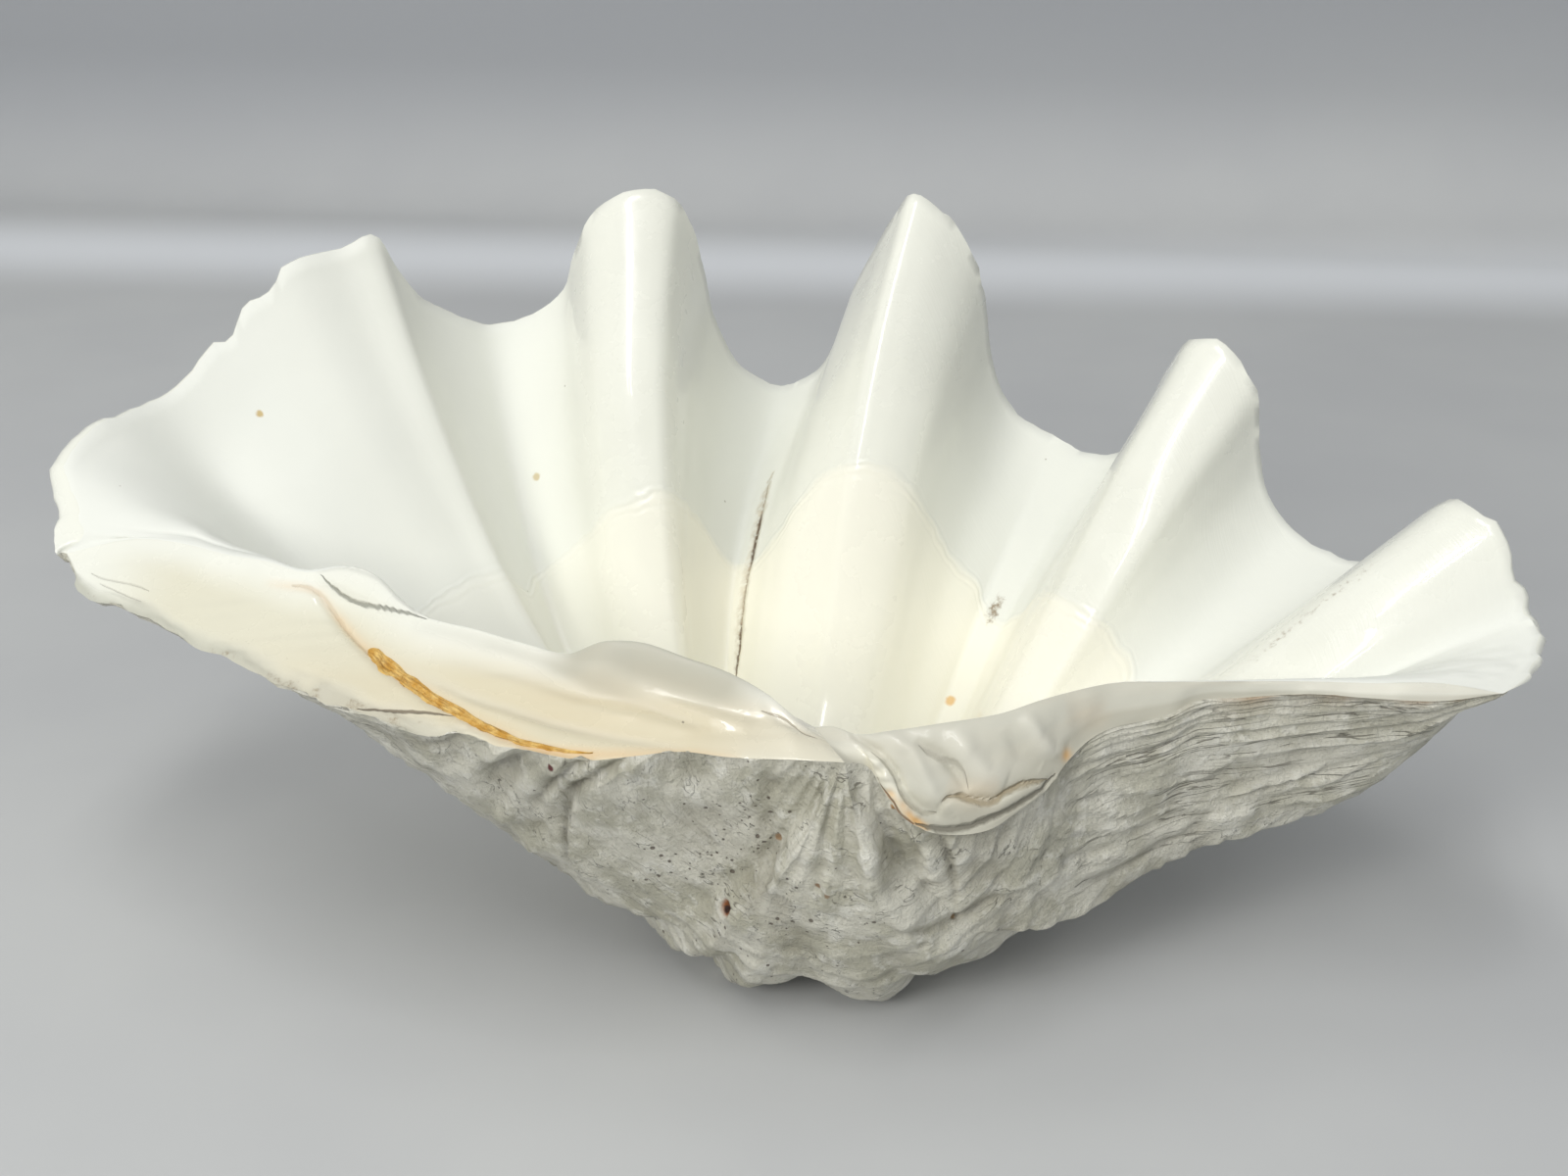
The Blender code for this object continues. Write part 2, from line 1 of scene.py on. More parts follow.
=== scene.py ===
"""Looks of one giant clam valve: its whole shell as one closed mesh, and its dried ligament.

The shell is worked out in the valve's own frame, in millimetres, from the same named values as
the CAD solid: the origin is the tip of the umbo, a runs along the hinge, b toward the margin and c
up out of the bowl. Two fans of spokes leave the umbo, u counts the spokes from the rear corner to
the front corner and s runs along each spoke from the umbo to the margin. Reliefs are added along
the surface normals: growth ledges, wrinkles, riblets, chips and pits. Then the valve is laid down
in its pose, and its lowest ribs are flat on the table.
"""

import logging
import math
from collections.abc import Sequence
from dataclasses import dataclass, field, replace
from enum import Enum
from itertools import product

import bpy
import numpy as np
from mathutils import Matrix, Vector
from numpy.typing import ArrayLike


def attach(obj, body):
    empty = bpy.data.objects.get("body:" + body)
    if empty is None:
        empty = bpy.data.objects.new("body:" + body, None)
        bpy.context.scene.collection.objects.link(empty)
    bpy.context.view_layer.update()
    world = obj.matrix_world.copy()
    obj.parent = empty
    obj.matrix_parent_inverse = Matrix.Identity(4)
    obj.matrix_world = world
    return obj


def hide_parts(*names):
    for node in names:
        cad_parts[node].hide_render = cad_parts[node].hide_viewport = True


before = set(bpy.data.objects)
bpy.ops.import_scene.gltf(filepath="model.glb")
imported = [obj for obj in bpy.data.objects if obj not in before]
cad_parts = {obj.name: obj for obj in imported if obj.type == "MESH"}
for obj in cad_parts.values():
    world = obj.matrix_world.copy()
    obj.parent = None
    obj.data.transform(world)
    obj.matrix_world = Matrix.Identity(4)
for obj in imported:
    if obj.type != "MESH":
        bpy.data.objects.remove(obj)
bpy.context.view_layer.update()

log = logging.getLogger("shell")

Points = tuple[tuple[float, ...], ...]
Array = np.ndarray
Masks = dict[str, Array]
Socket = bpy.types.NodeSocket
Feed = Socket | float | tuple[float, ...]

MM = 0.001
# Masks that the mesh carries for its materials, next to the growth map.
MASKS = ("warm", "dirt", "shade_and_matt", "amber", "zone")
# Length in mm over which the zone mask of the bowl runs from 0 to 1 across the pallial line.
ZONE_SPAN = 60.0
# The zone mask is above this on the hinge plate and the lip, and below it in the bowl.
STRIP_ZONE = 0.99
# Two sides in metres of the long lamps overhead.
TUBE = (0.07, 1.4)
# Numbers that scatter the corners of the noise lattice.
LATTICE_PRIMES = (73856093, 19349663, 83492791)
SCATTER = (2654435761, 1274126177, 2246822519)


class Skin(Enum):
    """Which finish a face of the shell wears: its value is the material slot."""

    PORCELAIN = 0
    WEATHERED = 1


@dataclass(frozen=True)
class Fold:
    """One fold of the margin: its place in the margin's points, its heights and its plan bends."""

    at: float
    inside: tuple[float, ...]
    bend_in: tuple[float, float]
    bend_out: tuple[float, float]
    outside: tuple[float, ...] = ()


@dataclass(frozen=True)
class ValveDesign:
    """Design values of the valve, in mm, as in the CAD solid."""

    tilt_deg: float = 14.8
    roll_deg: float = 2.45
    umbo_at: tuple[float, float, float] = (29.8, -111.7, 94.6)
    margin: Points = (
        (-233, 50, -1), (-238, 61, 6), (-242, 74, 12), (-238, 92, 15), (-227, 115, 11),
        (-217, 133, 19), (-208, 147, 29), (-197, 160, 36), (-187, 170, 35), (-178, 178, 36),
        (-173, 181, 23), (-167, 185, 10), (-156, 192, -1), (-148, 197, -6), (-139, 201, -5),
        (-126, 206, 3), (-121, 208, 18), (-115, 210, 31), (-106, 213, 38), (-98, 216, 39),
        (-89, 218, 36), (-84, 220, 26), (-80, 221, 8), (-76, 222, -14), (-66, 224, -33),
        (-54, 226, -39), (-43, 227, -33), (-35, 227, -17), (-30, 227, 2), (-24, 227, 16),
        (-17, 227, 31), (-11, 226, 40), (-3, 225, 37), (6, 223, 28), (13, 221, 15),
        (16, 220, 0), (19, 219, -17), (27, 215, -32), (40, 210, -38), (52, 204, -39),
        (63, 198, -35), (70, 193, -17), (76, 190, 6), (83, 184, 21), (90, 180, 23),
        (96, 176, 20), (102, 171, 14), (105, 169, 0), (109, 165, -17), (118, 158, -28),
        (129, 148, -29), (140, 139, -25), (147, 131, -9), (153, 124, 9), (157, 120, 15),
        (161, 114, 17), (167, 109, 17), (173, 100, 9), (178, 91, 0), (181, 80, -2),
        (178, 70, -4), (170, 62, -6),
    )
    hinge_edge: Points = (
        (0, 0, 0), (-11, -1, 0), (-30, -3, 0), (-42, -3, 0), (-55, -6, -1), (-65, -8, -2),
        (-82, -7, -2), (-98, -4, -3), (-116, -4, -3), (-130, 0, -3), (-142, 4, -3), (-158, 9, -4),
        (-180, 19, -4), (-203, 30, -4), (-224, 37, -4), (-233, 50, -1),
    )
    tooth_edge: Points = (
        (-10, 14, -2), (-14, 14, 0), (-23, 18, 4), (-33, 20, 8), (-45, 22, 10), (-59, 24, 12),
        (-67, 23, 12), (-79, 24, 5), (-90, 26, 5), (-107, 29, 6), (-119, 31, 6), (-128, 36, 7),
        (-136, 42, 9), (-143, 45, 9), (-149, 46, 8), (-157, 45, 6), (-172, 49, 5), (-184, 50, 5),
        (-198, 54, 4), (-214, 55, 3), (-233, 50, -1),
    )
    lip_edge: Points = (
        (0, 0, 0), (5, 3, -3), (11, 0, -10), (15, -3, -13), (22, -4, -17), (31, -2, -19),
        (38, 1, -19), (45, 7, -17), (51, 13, -15), (54, 18, -13), (57, 23, -11), (61, 28, -9),
        (67, 33, -8), (73, 36, -8), (82, 40, -7), (87, 44, -6), (102, 49, -6), (119, 52, -5),
        (135, 53, -5), (153, 56, -6), (170, 62, -6),
    )
    lip_crest: Points = (
        (-10, 14, -2), (-5, 13, 0), (1, 11, 0), (11, 13, 1), (24, 17, 2), (38, 23, 2),
        (48, 30, 2), (58, 37, 1), (66, 42, 0), (80, 46, -1), (96, 50, -2), (119, 55, -3),
        (135, 57, -3), (153, 60, -3), (170, 62, -6),
    )
    ligament_line: Points = (
        (-156, 44), (-142, 30), (-128, 18), (-112, 8), (-96, 1), (-80, -6), (-66, -8),
    )
    groove_deep: float = 1.6
    groove_half_wide: float = 2.2
    inner_steps: tuple[float, ...] = (0, 0.06, 0.12, 0.2, 0.33, 0.45, 0.57, 0.7, 0.83, 0.92, 1)
    outer_steps: tuple[float, ...] = (
        0, 0.05, 0.1, 0.16, 0.24, 0.33, 0.42, 0.5, 0.58, 0.66, 0.75, 0.85, 1)
    outer_forward: tuple[float, ...] = (
        0, 0.003, 0.012, 0.028, 0.06, 0.13, 0.23, 0.33, 0.44, 0.55, 0.68, 0.82, 1)
    outer_sideways: tuple[float, ...] = (
        0, 0.03, 0.07, 0.13, 0.19, 0.26, 0.33, 0.40, 0.48, 0.58, 0.70, 0.83, 1)
    furrow_rise: tuple[float, ...] = (0, 0, 2, 4, 8, 10, 13, 19, 31, 45, 58, 67, 79)
    umbo_bulge: tuple[float, ...] = (0, -8, -12, -13, -11, -7, -3, 0, 0, 0, 0, 0, 0)
    full_rise: float = 79.0
    grooves: tuple[Fold, ...] = (
        Fold(4, (-2, -14, -26, -42, -58, -58, -48, -33, -18, -8, 10), (-112, 44), (-112, 34),
             (0, -13, -30, -48, -64, -74, -80, -80, -67, -53, -40, -24, 0)),
        Fold(13, (-2, -18, -38, -60, -78, -80, -73, -58, -38, -22, -6), (-108, 82), (-108, 72),
             (0, -15, -34, -55, -77, -92, -103, -109, -109, -102, -84, -54, -12)),
        Fold(25, (-2, -20, -44, -72, -93, -96, -87, -70, -57, -49, -39), (-72, 86), (-80, 80),
             (0, -18, -41, -65, -90, -103, -110, -117, -124, -126, -108, -79, -45)),
        Fold(39.5, (-2, -20, -44, -71, -91, -93, -83, -67, -55, -48, -39), (14, 92), (24, 86),
             (0, -18, -41, -65, -89, -101, -108, -115, -122, -125, -107, -77, -45)),
        Fold(50.5, (-2, -18, -36, -54, -66, -64, -57, -47, -39, -34, -29), (60, 72), (68, 60),
             (0, -14, -31, -50, -68, -79, -85, -91, -93, -88, -75, -56, -34)),
        Fold(58, (-2, -16, -31, -47, -57, -56, -51, -42, -28, -15, -2), (84, 56), (90, 36),
             (0, -12, -27, -43, -57, -65, -68, -66, -61, -56, -55, -47, -14)),
    )
    ridges: tuple[Fold, ...] = (
        Fold(9, (-2, -14, -30, -48, -60, -60, -50, -32, -6, 14, 36), (-104, 72), (-104, 60)),
        Fold(19, (-2, -18, -40, -63, -80, -75, -53, -22, 8, 24, 39), (-84, 84), (-88, 78)),
        Fold(31.3, (-2, -18, -42, -66, -83, -74, -49, -17, 10, 26, 40), (-30, 92), (-30, 86)),
        Fold(44.6, (-2, -17, -38, -60, -72, -62, -44, -22, 0, 12, 23), (40, 82), (46, 76)),
        Fold(55.6, (-2, -14, -28, -42, -50, -44, -34, -19, -2, 9, 19), (76, 62), (84, 46)),
    )
    rear_bends: Points = ((-112, 38), (-112, 28))
    front_bends: Points = ((84, 48), (90, 34))
    peak_ends: tuple[float, float] = (32, 14)
    trough_ends: tuple[float, float] = (3, -5)
    near_margin: float = 0.45
    hinge_pull: tuple[float, float] = (1.6, 8)
    hinge_pull_steps: tuple[float, float] = (0.7, 0.95)
    lip_pull: float = 1.2
    inner_power: Points = ((0, 0.45, 0.6, 0.75, 0.9, 1), (0.6, 0.6, 0.6, 0.65, 0.85, 1))
    outer_power: Points = ((0, 0.5, 0.8, 1), (1.5, 1.5, 1.1, 1))
    wall_start: tuple[float, float] = (0.56, 0.80)
    wall_end: tuple[float, float] = (0.86, 1.0)
    front_corner: tuple[float, float] = (0.85, 0.95)
    wall: Points = ((0, 0.5, 0.75, 0.9, 1), (14, 12, 9, 6, 3.5))
    corner_wall: Points = ((0, 0.04, 0.08, 0.12, 0.9, 0.96, 1), (2.0, 1.8, 1.3, 1, 1, 2.0, 2.0))
    crest_slim: float = 0.5
    plate_base: Points = ((0, 0.1, 0.9, 1), (0, 3, 4, -1))
    tooth_share: float = 0.38
    lip_roll: float = 1.5
    edge_bulge: float = 0.25

    def pose(self) -> Array:
        """Turn and shift from the valve's own frame (mm) to the part's frame (m), as 4 by 4."""
        tilt = Matrix.Rotation(math.radians(self.tilt_deg), 4, "X")
        roll = Matrix.Rotation(math.radians(self.roll_deg), 4, "Y")
        place = Matrix.Translation(Vector(self.umbo_at) * MM)
        return np.array(place @ roll @ tilt @ Matrix.Scale(MM, 4))

    def lay(self, points: Array) -> Array:
        """Points of the valve's own frame, in mm, laid in the part's frame, in metres."""
        pose = self.pose()
        return points @ pose[:3, :3].T + pose[:3, 3]


def hermite(xs: Array, ys: Array, tangent: Array, x: Array) -> Array:
    """Cubic Hermite pieces: each blends its two end values and its two end slopes.

    Args:
        xs: Places of the knots, rising.
        ys: Values at the knots, one row each.
        tangent: Slopes at the knots, one row each.
        x: Places to read.

    Returns:
        One row of values for each place.
    """
    i = np.clip(np.searchsorted(xs, x) - 1, 0, len(xs) - 2)
    h = (xs[i + 1] - xs[i])[..., None]
    t = (x - xs[i])[..., None] / h
    rise = ys[i] * (1 + 2 * t) * (1 - t) ** 2 + ys[i + 1] * t * t * (3 - 2 * t)
    return rise + h * (tangent[i] * t * (1 - t) ** 2 + tangent[i + 1] * t * t * (t - 1))


def monotone(xs: ArrayLike, ys: ArrayLike, x: ArrayLike) -> Array:
    """Cubic through the points that never overshoots: slopes are weighted harmonic means.

    Args:
        xs: Places of the points.
        ys: Values at the points, single numbers or rows.
        x: Places to read.

    Returns:
        The values at x.
    """
    xs = np.asarray(xs, float)
    ys = np.asarray(ys, float)
    flat = ys.ndim == 1
    if flat:
        ys = ys[:, None]
    h = np.diff(xs)[:, None]
    slope = np.diff(ys, axis=0) / h
    tangent = np.zeros_like(ys)
    before = 2 * h[1:] + h[:-1]
    after = h[1:] + 2 * h[:-1]
    same = slope[:-1] * slope[1:] > 0
    safe_a = np.where(same, slope[:-1], 1.0)
    safe_b = np.where(same, slope[1:], 1.0)
    tangent[1:-1] = np.where(same, (before + after) / (before / safe_a + after / safe_b), 0)
    tangent[0] = slope[0]
    tangent[-1] = slope[-1]
    result = hermite(xs, ys, tangent, np.asarray(x, float))
    return result[..., 0] if flat else result


def knots(points: ArrayLike) -> Array:
    """Share of a polyline's whole length that is reached at each of its points."""
    run = np.cumsum(np.linalg.norm(np.diff(np.asarray(points, float), axis=0), axis=1))
    return np.concatenate([[0.0], run / run[-1]])


def curve(points: ArrayLike, ts: ArrayLike) -> Array:
    """Smooth curve through the points: each knot's slope is the mean of its two sides.

    Args:
        points: The points it runs through.
        ts: Shares of its length to read.

    Returns:
        One point for each share.
    """
    points = np.asarray(points, float)
    k = knots(points)
    h = np.diff(k)[:, None]
    slope = np.diff(points, axis=0) / h
    tangent = np.zeros_like(points)
    tangent[1:-1] = (slope[:-1] * h[1:] + slope[1:] * h[:-1]) / (h[1:] + h[:-1])
    tangent[0] = slope[0]
    tangent[-1] = slope[-1]
    return hermite(k, points, tangent, np.asarray(ts, float))


def smooth(x: ArrayLike) -> Array:
    """Soft step from 0 to 1: three x squared less two x cubed, held inside 0 to 1."""
    x = np.clip(x, 0, 1)
    return x * x * (3 - 2 * x)


def ramp(x: ArrayLike, start: ArrayLike, end: ArrayLike) -> Array:
    """Soft step that runs from 0 at start to 1 at end."""
    return smooth((x - start) / (end - start))


def window(x: ArrayLike, up: tuple[float, float], down: tuple[float, float]) -> Array:
    """Soft step from 0 to 1 over the first range, and back to 0 over the second."""
    return ramp(x, *up) * (1 - ramp(x, *down))


def bell(x: ArrayLike) -> Array:
    """Bell curve: 1 at 0, and about a third at 1."""
    return np.exp(-np.square(x))


def unit(vectors: Array) -> Array:
    """The same directions with length 1; a zero vector stays zero."""
    return vectors / np.maximum(np.linalg.norm(vectors, axis=-1, keepdims=True), 1e-9)


def normals(surface: Array) -> Array:
    """Unit normals of a grid surface: the cross product of its two grid directions."""
    return unit(np.cross(np.gradient(surface, axis=0), np.gradient(surface, axis=1)))


def noise(points: Array, seed: int) -> Array:
    """Smooth lattice noise from -1 to 1.

    Every corner of a unit lattice gets a fixed number from an integer hash of its place, and a
    point takes the softly weighted mean of the corners around it.

    Args:
        points: Places, in lattice cells, with two or three columns.
        seed: Picks another pattern.

    Returns:
        One number for each place.
    """
    seed_step, first, second = SCATTER
    cell = np.floor(points).astype(np.int64)
    t = smooth(points - cell)
    total = np.zeros(points.shape[:-1])
    primes = np.array(LATTICE_PRIMES)[: points.shape[-1]]
    for corner in product((0, 1), repeat=points.shape[-1]):
        h = ((cell + np.array(corner)) * primes).sum(-1) + seed * seed_step
        h = ((h ^ (h >> 13)) * first) & 0x7FFFFFFF
        h = ((h ^ (h >> 15)) * second) & 0x7FFFFFFF
        value = ((h >> 8) & 0xFFFF) / 32767.5 - 1
        total += value * np.prod(np.where(np.array(corner, bool), t, 1 - t), axis=-1)
    return total


def streaks(first: Array, second: ArrayLike, seed: int) -> Array:
    """Lattice noise over two lengths, each counted in cells of its own size."""
    return noise(np.stack(np.broadcast_arrays(first, second), axis=-1), seed)


def nearest(grid: Array, at: tuple[float, ...]) -> tuple[int, int]:
    """Row and column of the grid's point that is nearest to a place."""
    away = np.linalg.norm(grid - np.array(at, float), axis=-1)
    return np.unravel_index(np.argmin(away), away.shape)


def line_distance(points: Array, line: ArrayLike) -> tuple[Array, Array]:
    """Distance from points to a polyline, and how far along it the nearest place is.

    Args:
        points: Places with as many columns as the line. In a plane the distance is below zero
            on the right-hand side of the line.
        line: The polyline's points.

    Returns:
        The distances, and the shares of the line's length.
    """
    line = np.asarray(line, float)
    k = knots(line)
    best = np.full(points.shape[:-1], np.inf)
    along = np.zeros(points.shape[:-1])
    for i, (start, end) in enumerate(zip(line[:-1], line[1:])):
        run = end - start
        from_start = points - start
        t = np.clip((from_start @ run) / (run @ run), 0, 1)
        away = np.linalg.norm(from_start - t[..., None] * run, axis=-1)
        if len(run) == 2:
            away = np.where(run[0] * from_start[..., 1] < run[1] * from_start[..., 0], -away, away)
        nearer = np.abs(away) < np.abs(best)
        along = np.where(nearer, k[i] + t * (k[i + 1] - k[i]), along)
        best = np.where(nearer, away, best)
    return best, along


def fading(along: Array) -> Array:
    """Strength along a line that fades out at both ends: the root of a flat-topped arch."""
    return np.sqrt(np.clip(4 * along * (1 - along), 0, 1))


def stroke(points: Array, line: ArrayLike, wide: float) -> Array:
    """Soft line: a bell across the polyline, fading out at both its ends."""
    away, along = line_distance(points, line)
    return bell(away / wide) * fading(along)


@dataclass(frozen=True)
class Mark:
    """One ridge, or groove where the height is below zero: its line, half width and height."""

    line: Points
    wide: float
    high: float

    def rise(self, points: Array) -> Array:
        """Its height at the points: a bell across its line."""
        return self.high * stroke(points, self.line, self.wide)


@dataclass(frozen=True)
class Knob:
    """One rounded bump or hollow: its place, its radius and its height."""

    at: tuple[float, ...]
    wide: float
    high: float

    def rise(self, points: Array) -> Array:
        """Its height at the points: a bell of the distance."""
        away = np.linalg.norm(points - np.array(self.at, float), axis=-1)
        return self.high * bell(away / self.wide)


@dataclass(frozen=True)
class Ledge:
    """Edge of a thick layer that stands up on the left-hand side of its line and fades behind."""

    line: Points
    high: float
    soft: float
    fade: float

    def rise(self, points: Array) -> Array:
        """Its height at the points: a steep step at the line and a long fall behind it."""
        away, along = line_distance(points, self.line)
        behind = window(away, (-self.soft, self.soft), (self.soft, self.fade))
        return self.high * behind * window(along, (0, 0.08), (0.9, 1.0))


Marks = tuple[Mark | Knob | Ledge, ...]


def marked(points: Array, marks: Marks) -> Array:
    """Sum of the heights of marks, knobs and ledges at the points."""
    return sum((mark.rise(points) for mark in marks), np.zeros(points.shape[:-1]))


class ValveForm:
    """The smooth surfaces of the valve, as in the CAD solid."""

    def __init__(self, design: ValveDesign, u: Array) -> None:
        """Work out what both fans share.

        Args:
            design: The valve's design values.
            u: Places of the spokes, from 0 at the rear corner to 1 at the front corner.
        """
        self.d = design
        self.u = u
        self.margin = curve(design.margin, u)
        self.grooves = self.shares(design.grooves)
        self.ridges = self.shares(design.ridges)
        self.rear = self.grooves[0]
        self.front = self.grooves[-1]
        self.peaks = self.levels(design.ridges, design.peak_ends, 0.5)
        self.troughs = self.levels(design.grooves, design.trough_ends, -0.5)
        height = (self.margin[:, 2] - self.troughs) / (self.peaks - self.troughs)
        self.fold = np.clip(height, 0, 1)
        places = np.concatenate([self.grooves, self.ridges])
        order = np.argsort(places)
        folds = [(design.grooves + design.ridges)[i] for i in order]
        at = [0, *places[order], 1]
        rear_in, rear_out = design.rear_bends
        front_in, front_out = design.front_bends
        inside = [rear_in, *[fold.bend_in for fold in folds], front_in]
        outside = [rear_out, *[fold.bend_out for fold in folds], front_out]
        self.bend_in = monotone(at, inside, u)
        self.bend_out = monotone(at, outside, u)

    def shares(self, folds: tuple[Fold, ...]) -> Array:
        """Places u of the given folds along the margin."""
        k = knots(self.d.margin)
        return np.interp([fold.at for fold in folds], np.arange(len(k)), k)

    def levels(self, folds: tuple[Fold, ...], ends: tuple[float, float], gap: float) -> Array:
        """Level of the peaks or of the troughs along the margin, a gap beyond it."""
        at = self.shares(folds)
        level = curve(self.d.margin, at)[:, 2] + gap
        return monotone([0, *at, 1], [ends[0], *level, ends[1]], self.u)

    def across(self, at: Array, values: list[Array]) -> Array:
        """Heights of the folds, joined across the spokes and held beyond the last fold."""
        return monotone(at, np.array(values), np.clip(self.u, at[0], at[-1]))

    def plan(self, start: tuple[float, ...], bend: Array, share: Array) -> Array:
        """Plan paths of all spokes: quadratic curves from start over bend to the margin."""
        t = share[None, :, None]
        first = (1 - t) ** 2 * np.asarray(start, float)[None, None, :2]
        return first + 2 * t * (1 - t) * bend[:, None, :] + t * t * self.margin[:, None, :2]

    def inner(self, s: Array) -> Array:
        """Inside of the bowl.

        Heights run from the groove floors to the ridge crests by the fold's share to a power
        below 1, which makes broad ridges and narrow grooves. Near the margin they lead over to
        the margin's own levels, and at both sides to the edges of the hinge strips.

        Args:
            s: Steps along the spokes.

        Returns:
            Points, one row for each spoke.
        """
        d = self.d
        floors = [monotone(d.inner_steps, groove.inside, s) for groove in d.grooves]
        crests = [monotone(d.inner_steps, ridge.inside, s) for ridge in d.ridges]
        low = self.across(self.grooves, floors)
        high = self.across(self.ridges, crests)
        near = smooth((s - d.near_margin) / (1 - d.near_margin))[None, :]
        low = low + (self.troughs[:, None] - low[:, -1:]) * near
        high = high + (self.peaks[:, None] - high[:, -1:]) * near
        power = np.interp(s, *d.inner_power)[None, :]
        height = low + (high - low) * self.fold[:, None] ** power
        pole = d.tooth_edge[0]
        surface = np.concatenate([self.plan(pole, self.bend_in, s), height[..., None]], axis=-1)
        surface[:, s >= 1.0] = self.margin[:, None]
        surface[:, s <= 0.0] = pole
        to_hinge = (1 - smooth(self.u / self.rear))[:, None, None]
        to_lip = smooth((self.u - self.ridges[-1]) / (1 - self.ridges[-1])) ** d.lip_pull
        surface = surface + (curve(d.tooth_edge, s) - surface[0])[None] * to_hinge
        return surface + (curve(d.lip_crest, s) - surface[-1])[None] * to_lip[:, None, None]

    def even_out(self, surface: Array, s: Array, start: float = 0.82) -> Array:
        """Inside without its trough at the rear corner: straight from the start to the margin."""
        i = int(np.searchsorted(s, start))
        t = np.clip((s - s[i]) / (1 - s[i]), 0, 1)[None, :, None]
        straight = surface[:, i:i + 1] * (1 - t) + surface[:, -1:] * t
        share = window(self.u, (0.0, 0.008), (0.03, 0.055))
        share = share[:, None, None] * ramp(s, start, start + 0.06)[None, :, None]
        return surface * (1 - share) + straight * share

    def outer(self, s: Array) -> Array:
        """Outside of the valve.

        Near the umbo it has its own swollen ribs; toward the margin it becomes the inside moved
        along its normals by the wall's thickness, which is less at the crests.

        Args:
            s: Steps along the spokes.

        Returns:
            Points, one row for each spoke.
        """
        d = self.d
        floors = [monotone(d.outer_steps, groove.outside, s) for groove in d.grooves]
        rib = self.across(self.grooves, floors)
        rise = monotone(d.outer_steps, d.furrow_rise, s)[None, :]
        rise = rise * ((self.peaks - self.troughs) / d.full_rise)[:, None]
        height = rib + rise * self.fold[:, None] ** np.interp(s, *d.outer_power)[None, :]
        forward = monotone(d.outer_steps, d.outer_forward, s)
        sideways = monotone(d.outer_steps, d.outer_sideways, s)
        plan = self.plan((0, 0), self.bend_out, forward)
        plan[..., 0] = self.plan((0, 0), self.bend_out, sideways)[..., 0]
        middle = self.middle()
        plan[..., 1] += monotone(d.outer_steps, d.umbo_bulge, s)[None, :] * middle[:, None]
        body = np.concatenate([plan, height[..., None]], axis=-1)
        inside = self.inner(forward)
        up = normals(inside)
        up[:, 0] = (0, 0, 1)
        corner = (np.interp(self.u, *d.corner_wall) - 1)[:, None] * ramp(s, 0.4, 0.8)[None, :]
        slim = 1 - d.crest_slim * (self.fold[:, None] * ramp(s, 0.4, 0.7)[None, :]) ** 2
        thick = np.interp(s, *d.wall)[None, :] * (1 + corner) * slim
        wall = inside - up * thick[..., None]
        at_rear = 1 - smooth(self.u / self.rear)
        at_corner = np.maximum(at_rear, ramp(self.u, *d.front_corner))[:, None]
        start = d.wall_start[0] + (d.wall_start[1] - d.wall_start[0]) * at_corner
        end = d.wall_end[0] + (d.wall_end[1] - d.wall_end[0]) * at_corner
        share = ramp(s[None, :], start, end)[..., None]
        surface = body * (1 - share) + wall * share
        surface[:, 0] = 0
        pull = d.hinge_pull[0] + d.hinge_pull[1] * ramp(s, *d.hinge_pull_steps)
        to_hinge = at_rear[:, None] ** pull[None, :]
        to_lip = smooth((self.u - self.front) / (1 - self.front))
        surface = surface + (curve(d.hinge_edge, s) - surface[0])[None] * to_hinge[..., None]
        return surface + (curve(d.lip_edge, s) - surface[-1])[None] * to_lip[:, None, None]

    def middle(self) -> Array:
        """Weight of each spoke that is 1 in the middle of the fan and 0 at its two sides."""
        from_rear = smooth(self.u / self.grooves[1])
        return from_rear * smooth((1 - self.u) / (1 - self.grooves[-2]))

    def plate(self, s: Array, w: Array) -> Array:
        """Hinge plate between its outer edge and the toothed edge.

        It is a straight blend across, plus a low base, the rise to the teeth and the rounded
        groove that holds the ligament.

        Args:
            s: Steps along the hinge, one for each row.
            w: Shares across the plate, from 0 outside to 1 at the teeth, as a grid.

        Returns:
            Points, one row for each step.
        """
        d = self.d
        outer = curve(d.hinge_edge, s)
        inner = curve(d.tooth_edge, s)
        surface = outer[:, None] * (1 - w[..., None]) + inner[:, None] * w[..., None]
        base = np.interp(s, *d.plate_base)[:, None]
        tooth = inner[:, 2][:, None] - base
        height = outer[:, 2][:, None] * (1 - w) + base * w + tooth * ramp(w, 1 - d.tooth_share, 1)
        away, _ = line_distance(surface[..., :2], d.ligament_line)
        inland = np.sqrt(np.clip(np.sin(np.pi * w), 0, 1))
        height = height - d.groove_deep * bell(away / d.groove_half_wide) * inland
        surface[..., 2] = height
        return surface

    def groove_place(self, s: Array) -> tuple[Array, Array]:
        """Share across the plate at which the ligament's groove runs, and the plate's width."""
        outer = curve(self.d.hinge_edge, s)[:, None, :2]
        inner = curve(self.d.tooth_edge, s)[:, None, :2]
        tried = np.linspace(0.08, 0.7, 125)
        share = tried[None, :, None]
        away = np.abs(line_distance(outer * (1 - share) + inner * share, self.d.ligament_line)[0])
        width = np.maximum(np.linalg.norm((inner - outer)[:, 0], axis=1), 1.0)
        return tried[np.argmin(away, axis=1)], width

    def lip(self, s: Array, w: Array) -> Array:
        """Byssal lip: rolls over its crest and hangs down to its edge by a power of the share.

        Args:
            s: Steps along the lip, one for each row.
            w: Shares from 0 at the hanging edge to 1 at the crest.

        Returns:
            Points, one row for each step.
        """
        outer = curve(self.d.lip_edge, s)
        inner = curve(self.d.lip_crest, s)
        w = w[None, :, None]
        surface = outer[:, None] * (1 - w) + inner[:, None] * w
        drop = (outer - inner)[:, 2][:, None] * (1 - w[..., 0]) ** self.d.lip_roll
        surface[..., 2] = inner[:, 2][:, None] + drop
        return surface


